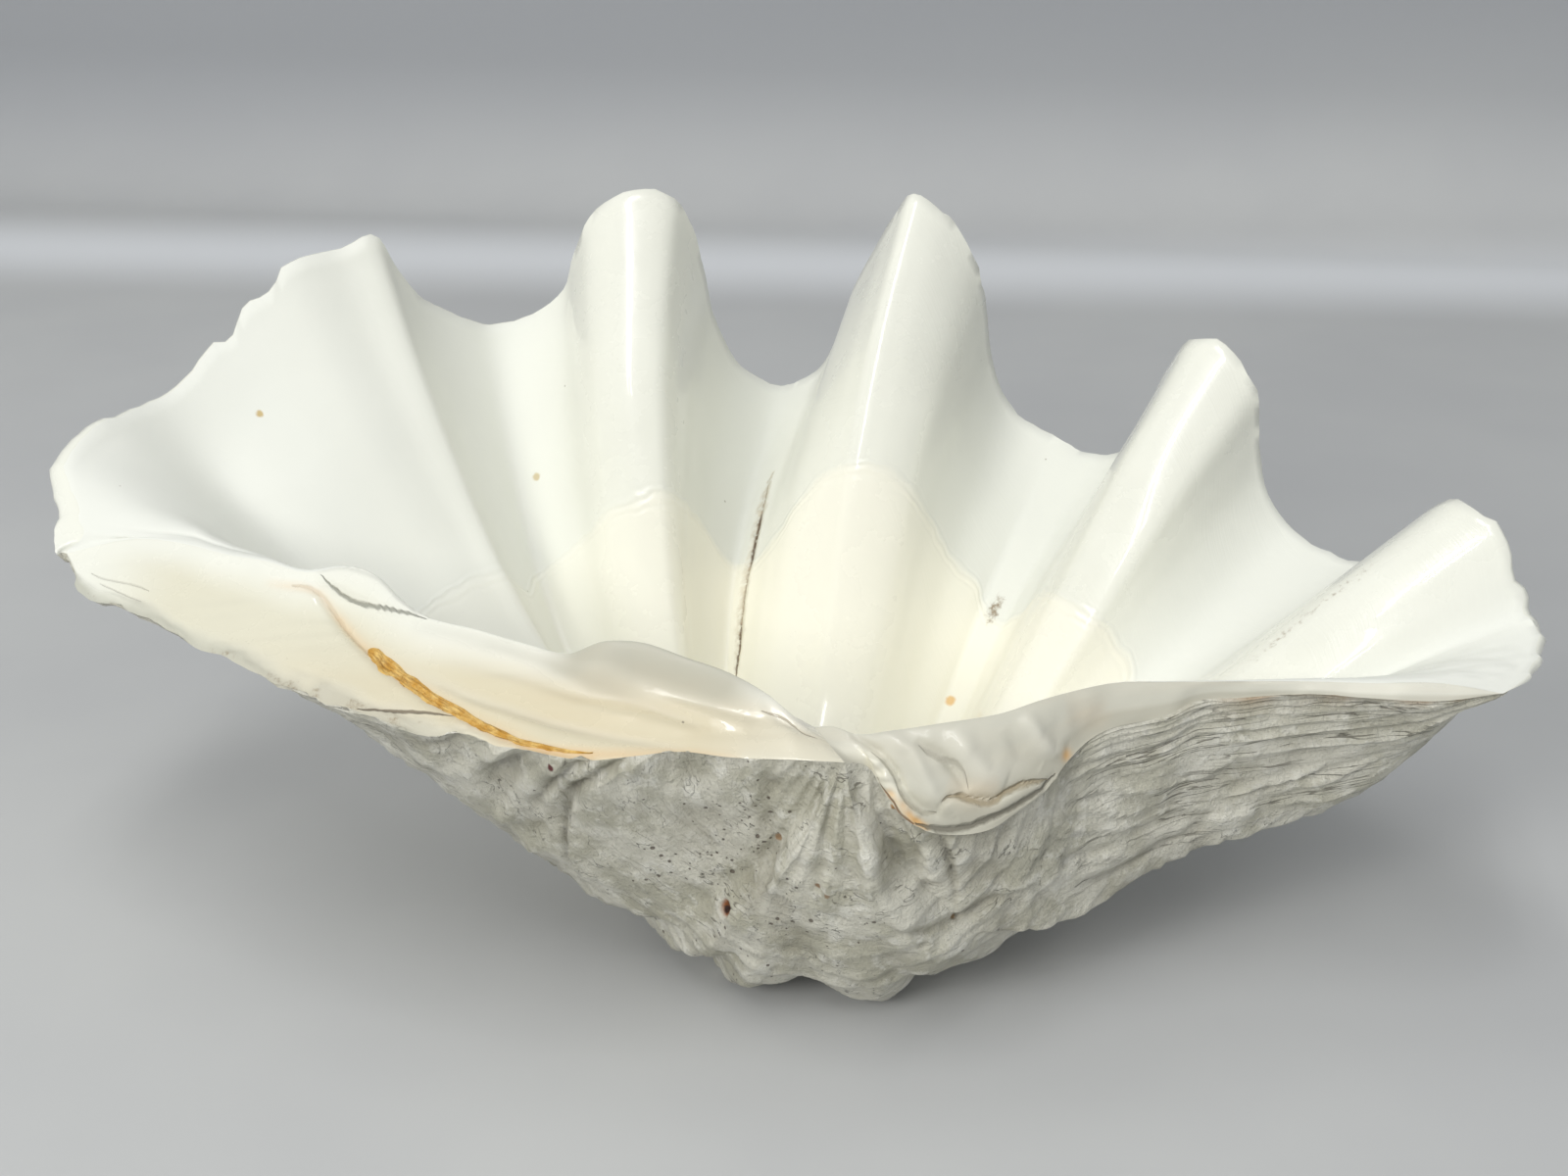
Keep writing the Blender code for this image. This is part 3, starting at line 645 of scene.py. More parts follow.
def spread(density: Array, count: int) -> Array:
    """Places from 0 to 1, closer together where the density (given on an even grid) is higher."""
    grid = np.linspace(0, 1, len(density))
    run = np.concatenate([[0], np.cumsum((density[1:] + density[:-1]) / 2)])
    return np.interp(np.linspace(0, run[-1], count), run, grid)


def off_sides(u: Array, width: float) -> Array:
    """Weight that is 0 on the first and last spoke and 1 from the given width inward."""
    return ramp(u, 0, width) * ramp(1 - u, 0, width)


def growth_layers(place: Array, crest: float = 0.8, sunk: float = 0.35) -> Array:
    """Shingle profile: each layer swells as the square of its share up to its crest, then drops."""
    share = place - np.floor(place)
    return np.where(share < crest, (share / crest) ** 2, (1 - share) / (1 - crest)) - sunk


def run_over(surface: Array, axis: int) -> Array:
    """Length along the grid up to each point, in mm, over the spokes (0) or the steps (1)."""
    length = np.linalg.norm(np.diff(surface, axis=axis), axis=-1)
    pad = ((1, 0), (0, 0)) if axis == 0 else ((0, 0), (1, 0))
    return np.cumsum(np.pad(length, pad), axis=axis)


@dataclass(frozen=True)
class Chip:
    """A bite out of the margin: its place u, half its width in u, and its depth in mm."""

    at: float
    half: float
    deep: float

    def arch(self, u: Array) -> Array:
        """Its profile over the spokes: an arch, 1 in its middle and 0 from its ends on."""
        return np.clip(1 - ((u - self.at) / self.half) ** 2, 0, 1)


@dataclass(frozen=True)
class Pit:
    """A bore hole or pit of the outside: its place, radius, depth and the height of its rim."""

    at: tuple[float, float, float]
    radius: float
    deep: float
    rim: float

    def rise(self, surface: Array) -> Array:
        """Its height over the surface: a ring-shaped rim, less a round dip."""
        away = np.linalg.norm(surface - np.array(self.at), axis=-1) / self.radius
        return self.rim * bell((away - 1.7) / 0.6) - self.deep * bell(away) ** 1.5


@dataclass(frozen=True)
class FineLine:
    """A line too thin for the mesh, drawn by the material: places, half width, share, colour."""

    line: Points
    half: float
    share: float
    colour: str


@dataclass(frozen=True)
class Spot:
    """A single round mark of the surface: its place, its radius in mm and its colour."""

    at: tuple[float, ...]
    radius: float
    colour: str


@dataclass(frozen=True)
class Drawn:
    """What the materials draw on the shell: lines on the growth map, spots in the part's frame."""

    bowl_lines: tuple[FineLine, ...]
    strip_lines: tuple[FineLine, ...]
    bowl_spots: tuple[Spot, ...]
    outside_spots: tuple[Spot, ...]


@dataclass
class Outside:
    """Relief and masks of the outer side.

    Heights are in mm. Lines are given in the front view, by their places along the hinge and up.
    """

    lump_high: float = 1.3
    wrinkle_high: float = 0.3
    layer_high: float = 0.7
    wall_layer_high: float = 1.35
    riblet_high: float = 1.5
    fold_high: float = 1.2
    mark_gain: float = 1.5
    layer_mm: float = 9.5
    wrinkle_mm: tuple[float, float] = (2.4, 12.0)
    wall_mm_per_u: float = 1450.0
    wall_opening: Points = ((0.2, 0.3, 0.4, 0.5, 0.65, 0.85, 1), (0.2, 0.45, 0.7, 0.85, 1, 1, 0.7))
    lip_layers_deep: float = 13.0
    lip_layer_mm: float = 2.6
    wall_layer_mm: float = 4.2
    rear_layer_mm: float = 5.0
    fold_slant: tuple[float, float] = (0.83, 0.55)
    front_side: tuple[float, float] = (60, 75)
    riblet_apex: tuple[float, float] = (2.7, 20.0)
    riblets: Points = (
        (-38, 2.8, 0.4), (-31, 2.6, 0.5), (-24, 2.4, 0.7), (-18, 2.2, 0.8), (-12, 2.3, 1.1),
        (-4.5, 2.6, 1.2), (6.5, 2.8, 1.3), (16, 2.4, 0.7), (22, 2.4, 0.8), (30, 3.0, 0.5),
    )
    marks: Marks = (
        Ledge(((-50, 3), (-56, -2), (-63, -8), (-68, -13), (-71, -21), (-74, -32), (-75, -43),
               (-75, -55), (-73, -64), (-69, -70)), 2.3, 0.4, 30),
        Mark(((-57, 0), (-64, -4), (-70, -10), (-75, -18), (-80, -28), (-83, -38)), 1.8, 1.0),
        Mark(((-64, 0), (-70, -6), (-76, -14), (-81, -23), (-87, -33)), 1.4, -0.9),
        Mark(((-70, -1), (-77, -10), (-84, -20), (-90, -30), (-96, -42)), 2.6, 1.3),
        Mark(((-80, -1), (-86, -9), (-93, -18), (-99, -28)), 1.8, -0.9),
        Mark(((-88, -2), (-95, -10), (-103, -18), (-110, -26)), 2.6, 1.0),
        Mark(((-100, -3), (-108, -9), (-118, -13)), 2.0, -0.7),
        Knob((-100, -24), 6.5, 1.6), Knob((-85, -55), 8.0, 1.3), Knob((-84, -44), 3.5, -1.2),
        Knob((-95, -40), 4.0, 0.9), Knob((-30, -12), 8.0, 1.1), Knob((-19, -9), 3.0, -0.8),
        Knob((-45, -62), 9.0, 0.8), Knob((-38, -30), 10.0, -0.6), Knob((-12, -22), 5.0, 0.6),
        Knob((19.5, -21), 2.0, 0.9), Knob((22.5, -27), 2.2, 1.1), Knob((23.5, -32), 2.0, 0.9),
        Knob((25, -37.5), 2.2, 0.9), Knob((35, -38), 7.0, -0.9), Knob((30, -62), 8.0, 1.0),
        Mark(((26, -20), (27, -24), (28.5, -31), (30, -40), (30.5, -47)), 1.0, -1.0),
        Mark(((12, -47), (17, -50), (25, -54), (34, -54), (40, -50), (50, -49)), 1.8, -1.0),
        Mark(((-20, -5), (-20, -20), (-19, -31), (-22, -42), (-26, -54)), 2.5, -0.8),
        Mark(((-9, -80), (-10, -66), (-12, -52), (-14, -40)), 4.0, -0.9),
        Mark(((62, -57), (72, -57), (82, -53), (92, -49)), 2.0, -1.0),
        Mark(((56, -44), (66, -46), (78, -45)), 1.6, -0.8),
        Knob((100, -46), 3.0, 1.0), Knob((107, -45), 2.5, 0.9), Knob((94, -48), 2.5, -0.8),
        Knob((48, -47), 2.0, 0.8), Knob((51, -40), 2.5, -0.6),
    )
    pits: tuple[Pit, ...] = (
        Pit((-30.8, -4.8, -54.6), 2.1, 2.2, 0.8), Pit((-22.1, -1.0, -28.9), 1.2, 0.6, 0.4),
        Pit((-17.6, -1.2, -29.5), 1.1, 0.5, 0.3), Pit((-4.9, -9.9, -36.5), 1.5, 0.9, 0.5),
        Pit((-1.1, -9.8, -34.1), 1.2, 0.7, 0.3), Pit((-1.0, -9.9, -39.5), 1.0, 0.6, 0.2),
        Pit((31.4, 1.8, -53.9), 1.2, 0.9, 0.3), Pit((-17.5, -5.7, -76.6), 1.6, 0.9, 0.2),
        Pit((-22.5, -8.1, -60.8), 1.3, 0.7, 0.2), Pit((-37.4, 0.2, -49.0), 1.0, 0.6, 0.2),
        Pit((-83.6, 8.5, -52.8), 1.3, 0.9, 0.0), Pit((23.0, -6.5, -58.0), 1.4, 0.9, 0.2),
        Pit((-33.0, -3.0, -59.0), 1.3, 0.8, 0.3),
    )
    spots: tuple[Spot, ...] = (
        Spot((-22.5, -8.1, -61.5), 3.4, "#D6D3C5"), Spot((-32.2, -4.8, -56.6), 3.0, "#DEDBCD"),
        Spot((-30.8, -5.6, -54.6), 2.7, "#9C5A24"), Spot((-31.4, -5.6, -55.5), 1.2, "#3A1D0C"),
        Spot((-75.5, -7.3, -5.2), 1.0, "#5E1714"), Spot((-17.6, -1.6, -29.5), 1.2, "#A98A66"),
        Spot((-4.9, -10.6, -36.5), 0.9, "#9B8062"), Spot((-2.6, -10.4, -38.4), 0.8, "#A58B6C"),
        Spot((31.4, 1.2, -53.9), 1.0, "#B79C77"), Spot((14.0, -1.6, -11.6), 1.2, "#B98A55"),
    )

    def wall_place(self, u: Array, s: Array) -> Array:
        """Depth below the lip, in mm, along which the front wall's layers are stacked.

        It is the share 1 - u in mm, stretched by how far the layers have opened at each step.
        """
        return self.wall_mm_per_u * (1 - u)[:, None] / np.interp(s, *self.wall_opening)[None, :]

    def side_share(self, u: Array, s: Array) -> tuple[Array, Array]:
        """Shares of the front wall and of the rear wall, where layers run along the spokes."""
        front = ramp(u, 0.966, 0.975)[:, None] * ramp(s, 0.30, 0.46)[None, :]
        rear = (1 - ramp(u, 0.03, 0.07))[:, None] * ramp(s, 0.42, 0.55)[None, :]
        return front, rear

    def front_layers(self, along: Array, deep: Array, s: Array) -> Array:
        """Layers of the front wall: shingles over the depth, bent by waves and thinner at the lip.

        Args:
            along: Length along the spokes, in mm.
            deep: Depth below the lip, in mm.
            s: Steps along the spokes.

        Returns:
            Heights in mm, as a grid.
        """
        lip_layers = self.lip_layers_deep / self.lip_layer_mm
        below = lip_layers + (deep - self.lip_layers_deep) / self.wall_layer_mm
        place = np.where(deep < self.lip_layers_deep, deep / self.lip_layer_mm, below)
        waves = 0.7 * streaks(along / 45, deep / 10, 6) + 0.35 * streaks(along / 15, deep / 5, 7)
        lens = np.clip(0.6 + streaks(along / 24, deep / 4, 17), 0.1, 1.5)
        size = self.wall_layer_high * (0.6 + 0.4 * ramp(deep, 6, 20)) * lens
        fine = streaks(along / 22, deep + waves, 8) * ramp(s, 0.3, 0.45)[None, :]
        return size * growth_layers(place + waves) + 0.3 * fine

    def layers(self, form: ValveForm, surface: Array, s: Array) -> Array:
        """Growth layers: over the steps in the middle, along the spokes on both side walls.

        Args:
            form: The valve's smooth form.
            surface: Points of the smooth outside.
            s: Steps along the spokes.

        Returns:
            Heights in mm, as a grid.
        """
        along = run_over(surface, 1)
        from_rear = run_over(surface, 0)
        sway = noise(surface / 26, 3)
        place = along / self.layer_mm + 0.55 * sway + 0.3 * noise(surface / 9, 4)
        fine = streaks(along / self.wrinkle_mm[0] + sway, from_rear / self.wrinkle_mm[1], 5)
        middle = self.layer_high * growth_layers(place) + self.wrinkle_high * fine
        deep = self.wall_place(form.u, s)
        broad = streaks(along / 30, deep / 8, 13)
        front_wall = self.front_layers(along, deep, s) + 0.8 * broad
        waves = 0.8 * streaks(along / 26, from_rear / 12, 9)
        rear_wall = 0.8 * growth_layers(from_rear / self.rear_layer_mm + waves) + 0.5 * broad
        front, rear = self.side_share(form.u, s)
        return middle * (1 - front - rear) + front_wall * front + rear_wall * rear

    def folds(self, surface: Array) -> Array:
        """Slanting folds left of the old ledge: noise stretched down and to the left."""
        a, c = surface[..., 0], surface[..., 2]
        run, fall = self.fold_slant
        across = run * a - fall * c
        down = -fall * a - run * c
        wrinkle = streaks(across / 4, down / 16, 15) + 0.5 * streaks(across / 2, down / 9, 16)
        return self.fold_high * wrinkle * (1 - ramp(a, -74, -58)) * ramp(a, -150, -110)

    def fan(self, surface: Array) -> Array:
        """Rounded riblets below the umbo: bells over the angle round a point above its tip."""
        a, c = surface[..., 0], surface[..., 2]
        angle = np.degrees(np.arctan2(a - self.riblet_apex[0], self.riblet_apex[1] - c))
        angle = angle + 1.2 * noise(surface / 12, 10)
        height = -0.5 + sum(high * bell((angle - at) / half) for at, half, high in self.riblets)
        reach = np.hypot(a, c)
        return self.riblet_high * height * ramp(reach, 3, 12) * (1 - ramp(reach, 30, 58))

    def relief(self, form: ValveForm, surface: Array, s: Array) -> Array:
        """Height of the outside's relief over the smooth form.

        It is the sum of rounded lumps, growth layers, slanting folds, riblets and single marks,
        and of the pits, each a round dip with a raised rim.

        Args:
            form: The valve's smooth form.
            surface: Points of the smooth outside.
            s: Steps along the spokes.

        Returns:
            Heights in mm, as a grid.
        """
        front = 1 - ramp(surface[..., 1], *self.front_side)
        lumps = self.lump_high * noise(surface / 22, 1) + 0.8 * noise(surface / 8, 2)
        lumps = lumps + 0.3 * noise(surface / 3.2, 11)
        height = (lumps + self.layers(form, surface, s)) * ramp(s, 0.03, 0.1)[None, :]
        height = height + (self.folds(surface) + self.fan(surface)) * front
        height = height + self.mark_gain * marked(surface[..., [0, 2]], self.marks) * front
        height = height * ramp(s, 0.005, 0.03)[None, :]
        height = height * (1 - ramp(s, 0.97, 1.0))[None, :] * off_sides(form.u, 0.0015)[:, None]
        return sum((pit.rise(surface) for pit in self.pits), height)

    def crease_shadows(self, surface: Array) -> Array:
        """Painted shadow lines in the sharp creases: below the old ledge and in the narrow grooves.
        """
        front = surface[..., [0, 2]]
        away, along = line_distance(front, self.marks[0].line)
        dark = bell((away + 1.3) / 1.5) * fading(along)
        for mark in self.marks:
            if isinstance(mark, Mark) and mark.high < 0 and mark.wide < 2.1:
                dark = dark + 0.5 * stroke(front, mark.line, 0.8)
        return dark * (0.7 + 0.6 * noise(surface / 4, 54))

    def masks(self, form: ValveForm, surface: Array, s: Array, relief: Array) -> Masks:
        """Masks and pattern places of the outside, each one a grid.

        Args:
            form: The valve's smooth form.
            surface: Points of the smooth outside.
            s: Steps along the spokes.
            relief: Heights of the relief.

        Returns:
            The grids by name: warm is painted shade in the relief's hollows, dirt the pores, zone
            the layered walls.
        """
        along = run_over(surface, 1)
        from_rear = run_over(surface, 0)
        a, b, c = surface[..., 0], surface[..., 1], surface[..., 2]
        pores = bell((a + 24) / 30) * bell((c + 48) / 34) * (b < 30)
        near_rim = bell(self.wall_place(form.u, s) / 7) * ramp(a, 80, 100)
        front, rear = self.side_share(form.u, s)
        side = np.where(form.u[:, None] > 0.5, from_rear[-1:] - from_rear, from_rear)
        return {
            "growth": np.stack([side, along], axis=-1),
            # Painted shade: darker where the relief is low.
            "warm": np.clip(0.5 - 0.45 * relief, 0, 1),
            "dirt": np.clip(pores * (0.3 + 1.7 * noise(surface / 9, 51)), 0, 1),
            # Painted shadow lines in the creases.
            "shade_and_matt": np.clip(self.crease_shadows(surface), 0, 1) * (b < 40),
            "amber": near_rim * np.clip(0.55 + 0.8 * noise(surface / 7, 52), 0, 1),
            "zone": front + rear,
        }


@dataclass
class Bowl:
    """Relief and masks of the inner side. Heights are in mm.

    Each line of the crevice has its first and last step, half width, share and colour.
    """

    crevice_deep: float = 0.9
    crevice: tuple[tuple[float, float, float, float, str], ...] = (
        (0.56, 0.86, 2.8, 0.42, "#BCAA86"),
        (0.57, 0.84, 0.8, 0.6, "#94795A"),
        (0.71, 0.79, 1.1, 0.9, "#5A4630"),
        (0.57, 0.64, 0.8, 0.85, "#6A553C"),
    )
    crevice_at: float = 0.4425
    pit_at: tuple[float, float] = (0.66, 0.725)
    # Place u of the groove that gets painted shade, speckled like grime.
    shaded_groove_at: float = 0.917
    pallial_step: float = 0.35
    pallial_line: Points = (
        (0, 0.62), (0.12, 0.66), (0.217, 0.65), (0.247, 0.70), (0.278, 0.69), (0.318, 0.68),
        (0.36, 0.70), (0.405, 0.735), (0.432, 0.73), (0.448, 0.705), (0.47, 0.70), (0.51, 0.712),
        (0.535, 0.705), (0.555, 0.712), (0.598, 0.729), (0.645, 0.743), (0.66, 0.715),
        (0.69, 0.70), (0.755, 0.64), (0.818, 0.66), (0.86, 0.60), (0.95, 0.55), (1, 0.5),
    )
    spots: tuple[Spot, ...] = (
        Spot((-200.9, 122.0, 2.6), 1.1, "#C9B27F"), Spot((-125.0, 157.4, -37.7), 1.3, "#CFC19D"),
        Spot((18.5, 118.7, -81.4), 1.6, "#E8C48C"), Spot((-43.5, 7.0, 1.5), 0.55, "#3B3226"),
    )

    def past_line(self, form: ValveForm, along: Array, s: Array) -> Array:
        """Length past the pallial line along each spoke, in mm, below zero inside it."""
        line = np.array(self.pallial_line)
        step = monotone(line[:, 0], line[:, 1], form.u)[:, None]
        return (s[None, :] - step) * along[:, -1:]

    def beside(self, form: ValveForm, from_rear: Array, u: float) -> Array:
        """Length across the spokes from the place u, in mm."""
        i = np.searchsorted(form.u, u)
        t = (u - form.u[i - 1]) / (form.u[i] - form.u[i - 1])
        return from_rear - (from_rear[i - 1] * (1 - t) + from_rear[i] * t)[None, :]

    def sway(self, along: Array) -> Array:
        """Small sideways wandering of the crevice along its length, in mm."""
        return 0.8 * streaks(along / 9, along / 9, 25)

    def relief(self, form: ValveForm, surface: Array, s: Array) -> Array:
        """Height of the inside's relief over the smooth form.

        It is a faint swell, the low step at the pallial line, the slit in the second groove and
        a few fine lines beside the front corner.

        Args:
            form: The valve's smooth form.
            surface: Points of the smooth inside.
            s: Steps along the spokes.

        Returns:
            Heights in mm, as a grid.
        """
        along = run_over(surface, 1)
        from_rear = run_over(surface, 0)
        past = self.past_line(form, along, s)
        step = -self.pallial_step * ramp(past, -2.5, 1.0)
        swell = 0.28 * noise(surface / 30, 23) + 0.06 * noise(surface / 9, 24)
        beside = self.beside(form, from_rear, self.crevice_at) + self.sway(along)
        shown = window(s, (0.55, 0.62), (0.76, 0.84))[None, :]
        slit = -self.crevice_deep * bell(beside / 2.0) * shown
        lines = 0.3 * streaks(along / 60, from_rear / 2.6, 26)
        lines = lines * ramp(form.u, 0.94, 0.985)[:, None] * ramp(s, 0.55, 0.85)[None, :]
        fade = window(s, (0.0, 0.06), (0.985, 1.0))
        return (swell + step + slit + lines) * fade[None, :] * off_sides(form.u, 0.012)[:, None]

    def fine_lines(self, form: ValveForm, surface: Array, s: Array) -> tuple[FineLine, ...]:
        """Dark lines of the slit on the growth map: they follow one spoke with a small sway."""
        from_rear = run_over(surface, 0)
        spoke = (from_rear - self.beside(form, from_rear, self.crevice_at))[0]
        along = run_over(surface, 1)[np.searchsorted(form.u, self.crevice_at)]
        lines = []
        for start, end, *look in self.crevice:
            steps = np.linspace(start, end, 9)
            run = np.interp(steps, s, along)
            across = np.interp(steps, s, spoke) - self.sway(run)
            lines.append(FineLine(tuple(zip(run.tolist(), across.tolist())), *look))
        return tuple(lines)

    def masks(self, form: ValveForm, surface: Array, s: Array) -> Masks:
        """Masks and pattern places of the inside.

        Args:
            form: The valve's smooth form.
            surface: Points of the smooth inside.
            s: Steps along the spokes.

        Returns:
            The grids by name: dirt is in the slit and one pit, and is painted shade speckled like
            grime in one groove; the grey mask is painted shade in all grooves and on the rear wall;
            zone is the place by the pallial line.
        """
        along = run_over(surface, 1)
        from_rear = run_over(surface, 0)
        past = self.past_line(form, along, s)
        beside = np.abs(self.beside(form, from_rear, self.crevice_at))
        slit = 0.34 * bell(beside / 2.6) * window(s, (0.50, 0.58), (0.80, 0.86))[None, :]
        # Painted shade along the trough of that groove, speckled like grime by the dirt colour.
        beside = np.abs(self.beside(form, from_rear, self.shaded_groove_at)) + 1.5 * noise(surface / 8, 27)
        shade_and_grime = bell(beside / 3.0) * window(s, (0.55, 0.7), (0.86, 0.96))[None, :]
        beside = np.abs(self.beside(form, from_rear, self.pit_at[0]))
        pit = bell(beside / 3.2) * bell((s[None, :] - self.pit_at[1]) / 0.03)
        # Painted shade: grey in the grooves, growing toward the margin, and on the rear wall, which
        # is also made matt.
        shade_and_matt = (1 - form.fold[:, None]) ** 2 * ramp(s, 0.2, 0.5)[None, :]
        shade_and_matt = shade_and_matt + 0.8 * (1 - ramp(form.u, 0.14, 0.24))[:, None]
        return {
            "growth": np.stack([from_rear, along], axis=-1),
            "warm": 0 * along + 0.3 + 0.7 * ramp(form.u, 0.2, 0.36)[:, None],
            "dirt": np.clip(slit + 0.7 * pit + 0.42 * shade_and_grime, 0, 1),
            "shade_and_matt": np.clip(shade_and_matt, 0, 1),
            "amber": np.zeros_like(along),
            "zone": np.clip(0.5 + past / ZONE_SPAN, 0, 0.98),
        }


@dataclass
class Hinge:
    """Hinge plate: its relief over the plan, and its masks. Lines are given in plan, in mm."""

    columns: int = 41
    worn_share: float = 0.24
    worn_from: tuple[float, float] = (80, 110)
    furrows: tuple[Mark, ...] = (
        Mark(((-130, 20), (-115, 14), (-104, 10.5), (-91, 7), (-78, 3.2), (-59, 0.3), (-40, -2)),
             2.2, -1.2),
        Mark(((-124, 29), (-107, 26.5), (-95, 24.5), (-83, 21), (-70, 15), (-54, 12), (-38, 6)),
             2.4, -1.3),
    )
    lines: Marks = (
        Ledge(((-158, 44.5), (-148, 40), (-142, 37), (-131, 33), (-120, 30)), 1.8, 0.5, 8),
        Mark(((-157, 43.4), (-148, 39), (-142, 36), (-131, 32), (-119, 29)), 1.2, -0.9),
        Mark(((-170, 42), (-159, 40.5), (-153, 39.5), (-146, 33.5), (-133, 21.5)), 1.2, -0.7),
        Mark(((-152, 46), (-147, 44.5), (-133, 39.5), (-122, 32)), 1.4, 1.1),
    )
    ribs: tuple[Mark, ...] = (
        Mark(((-100, 24), (-87, 22.5), (-74, 17.5), (-60, 15), (-44, 11), (-26, 7.5)), 2.4, 1.0),
        Mark(((-118, 20), (-104, 17), (-88, 13), (-72, 8.5), (-55, 6), (-35, 3)), 2.6, 0.7),
        Mark(((-60, 19), (-48, 16.5), (-34, 14), (-22, 11)), 2.4, -0.7),
    )
    crack: Marks = (Mark(((-131, 0.8), (-118, 1.4), (-104, 1.8)), 0.5, -0.5),)
    knob: Marks = (
        Mark(((-9, 11), (-6, 7), (-4, 3)), 0.9, -1.0), Knob((-14, 6), 5.0, 1.0),
        Mark(((-24, 15), (-16, 11), (-8, 8), (-3, 7)), 1.4, -0.9),
    )
    tooth: Points = ((-88, 27), (-68, 22), (-50, 20.5), (-30, 17), (-10, 13))
    stained: Points = ((-95, -2), (-78, -6.5), (-62, -6), (-44, -4), (-26, -3))
    fine_lines: tuple[FineLine, ...] = (
        # The first is a painted shadow line under the edge of the lateral tooth.
        FineLine(((-154, 44.0), (-151, 41.6), (-147.5, 39.4), (-142.3, 36.7), (-131.3, 33.2),
                  (-119.0, 30.8)), 0.3, 0.7, "#77776A"),
        FineLine(((-131, 2.6), (-124, 2.2), (-116, 2.3), (-104, 3.0)), 0.35, 0.75, "#5A4630"),
        FineLine(((-162, 41.0), (-157, 40.8), (-153, 39.5), (-149, 36.5), (-145, 32.4),
                  (-139, 26.6), (-133, 21.5), (-122, 14.0)), 0.7, 0.28, "#B59A72"),
        FineLine(((-24, 13.5), (-19, 13), (-15, 11), (-12, 8.5), (-8, 7.5)), 0.25, 0.5, "#A08C6C"),
        FineLine(((-223, 43.5), (-216, 41), (-209, 40), (-203, 38)), 0.25, 0.26, "#8F8B7C"),
        FineLine(((-219, 40), (-211, 37), (-204, 34.5)), 0.22, 0.24, "#8F8B7C"),
    )

    def relief(self, surface: Array) -> Array:
        """Relief over the plan: furrows, ribs, lines and the crack, with fine streaks."""
        plan = surface[..., :2]
        a, b = plan[..., 0], plan[..., 1]
        total = marked(plan, self.furrows + self.lines + self.ribs + self.crack + self.knob)
        return total + 0.14 * streaks(a / 30, b / 2.4 - a / 14, 41) + 0.3 * noise(surface / 12, 42)

    def grid(self, form: ValveForm, s: Array) -> tuple[Array, Array]:
        """Hinge plate with its relief, worn and lumpy along its outer edge.

        Args:
            form: The valve's smooth form.
            s: Steps along the hinge.

        Returns:
            The points, and the share across for each of them.
        """
        w = np.linspace(0, 1, self.columns)[None, :] + 0 * s[:, None]
        surface = form.plate(s, w)
        inland = np.clip(np.sin(np.pi * w), 0, 1) ** 0.35 * ramp(s, 0.01, 0.05)[:, None]
        worn = (1 - ramp(w, 0.04, self.worn_share)) * ramp(-surface[..., 0], *self.worn_from)
        lumps = noise(surface / 7, 45) + 0.7 * noise(surface / 2.6, 46)
        from_edge = surface[..., 1] - surface[:, :1, 1]
        lumps = lumps + 0.8 * streaks(surface[..., 0] / 16, from_edge / 2.6, 56)
        relief = self.relief(surface) + 1.1 * worn * lumps
        surface[..., 2] += relief * inland * (1 - ramp(s, 0.93, 1.0))[:, None]
        return surface, w

    def worn_edge(self, form: ValveForm, s: Array) -> Array:
        """Small shifts of the plate's outer edge, where it is chipped and lumpy."""
        edge = curve(form.d.hinge_edge, s)
        shift = np.stack([noise(edge / 11, seed) + 0.7 * noise(edge / 4.5, seed + 3)
                          for seed in (47, 48, 49)], axis=-1)
        size = ramp(-edge[:, 0], 60, 105) * (1 - ramp(s, 0.955, 0.99))
        return 1.7 * shift * size[:, None]

    def masks(self, surface: Array, w: Array, line: Points) -> Masks:
        """Masks of the plate: amber glow by the ligament, grey painted shade in the furrows and on
        the worn outer edge, the glossy tooth.

        Args:
            surface: Points of the plate.
            w: Shares across the plate.
            line: The ligament's line, in plan.

        Returns:
            The grids by name.
        """
        plan = surface[..., :2]
        a, b = plan[..., 0], plan[..., 1]
        away, along = line_distance(plan, line)
        glow = bell(away / 2.4) * ramp(along, 0.1, 0.4)
        warm = bell((b - 7) / 15) * bell((a + 70) / 80)
        away, along = line_distance(plan, self.tooth)
        tooth = bell(away / 7.0) * window(along, (0.0, 0.2), (0.66, 0.86))
        furrow = sum(stroke(plan, mark.line, 2.0) for mark in self.furrows)
        worn = 1 - ramp(w + 0.10 * noise(surface / 7, 55), 0.03, self.worn_share)
        worn = worn * ramp(-a, 80, 120)
        # Grey painted shade in the furrows and on the shaded bevel of the worn outer edge; the
        # tooth is grey too, and all of it is made matt.
        shade_and_matt = np.clip(1.15 * tooth + 0.45 * furrow + 1.1 * worn, 0, 1)
        grime = 0.45 * worn * np.clip(0.7 + 0.7 * noise(surface / 3.5, 57), 0, 1)
        ivory = (0.75 + 0.4 * warm) * (1 - ramp(w, 0.55, 0.95)) * ramp(a, -226, -192)
        stain = 0.3 * stroke(plan, self.stained, 2.4) + 0.35 * stroke(plan, self.lines[2].line, 1.3)
        return {
            "growth": np.stack([b, a], axis=-1),
            "warm": np.clip(ivory * (1 - 0.4 * ramp(a, -45, -15)) * (1 - 0.8 * shade_and_matt), 0, 1),
            # Painted shade in the furrows, and grime along the worn edge.
            "dirt": np.clip(0.14 * furrow + grime, 0, 1),
            "shade_and_matt": shade_and_matt,
            "amber": np.clip(0.2 * glow + stain + 0.14 * warm, 0, 1),
            "zone": 1 + 0 * w,
        }


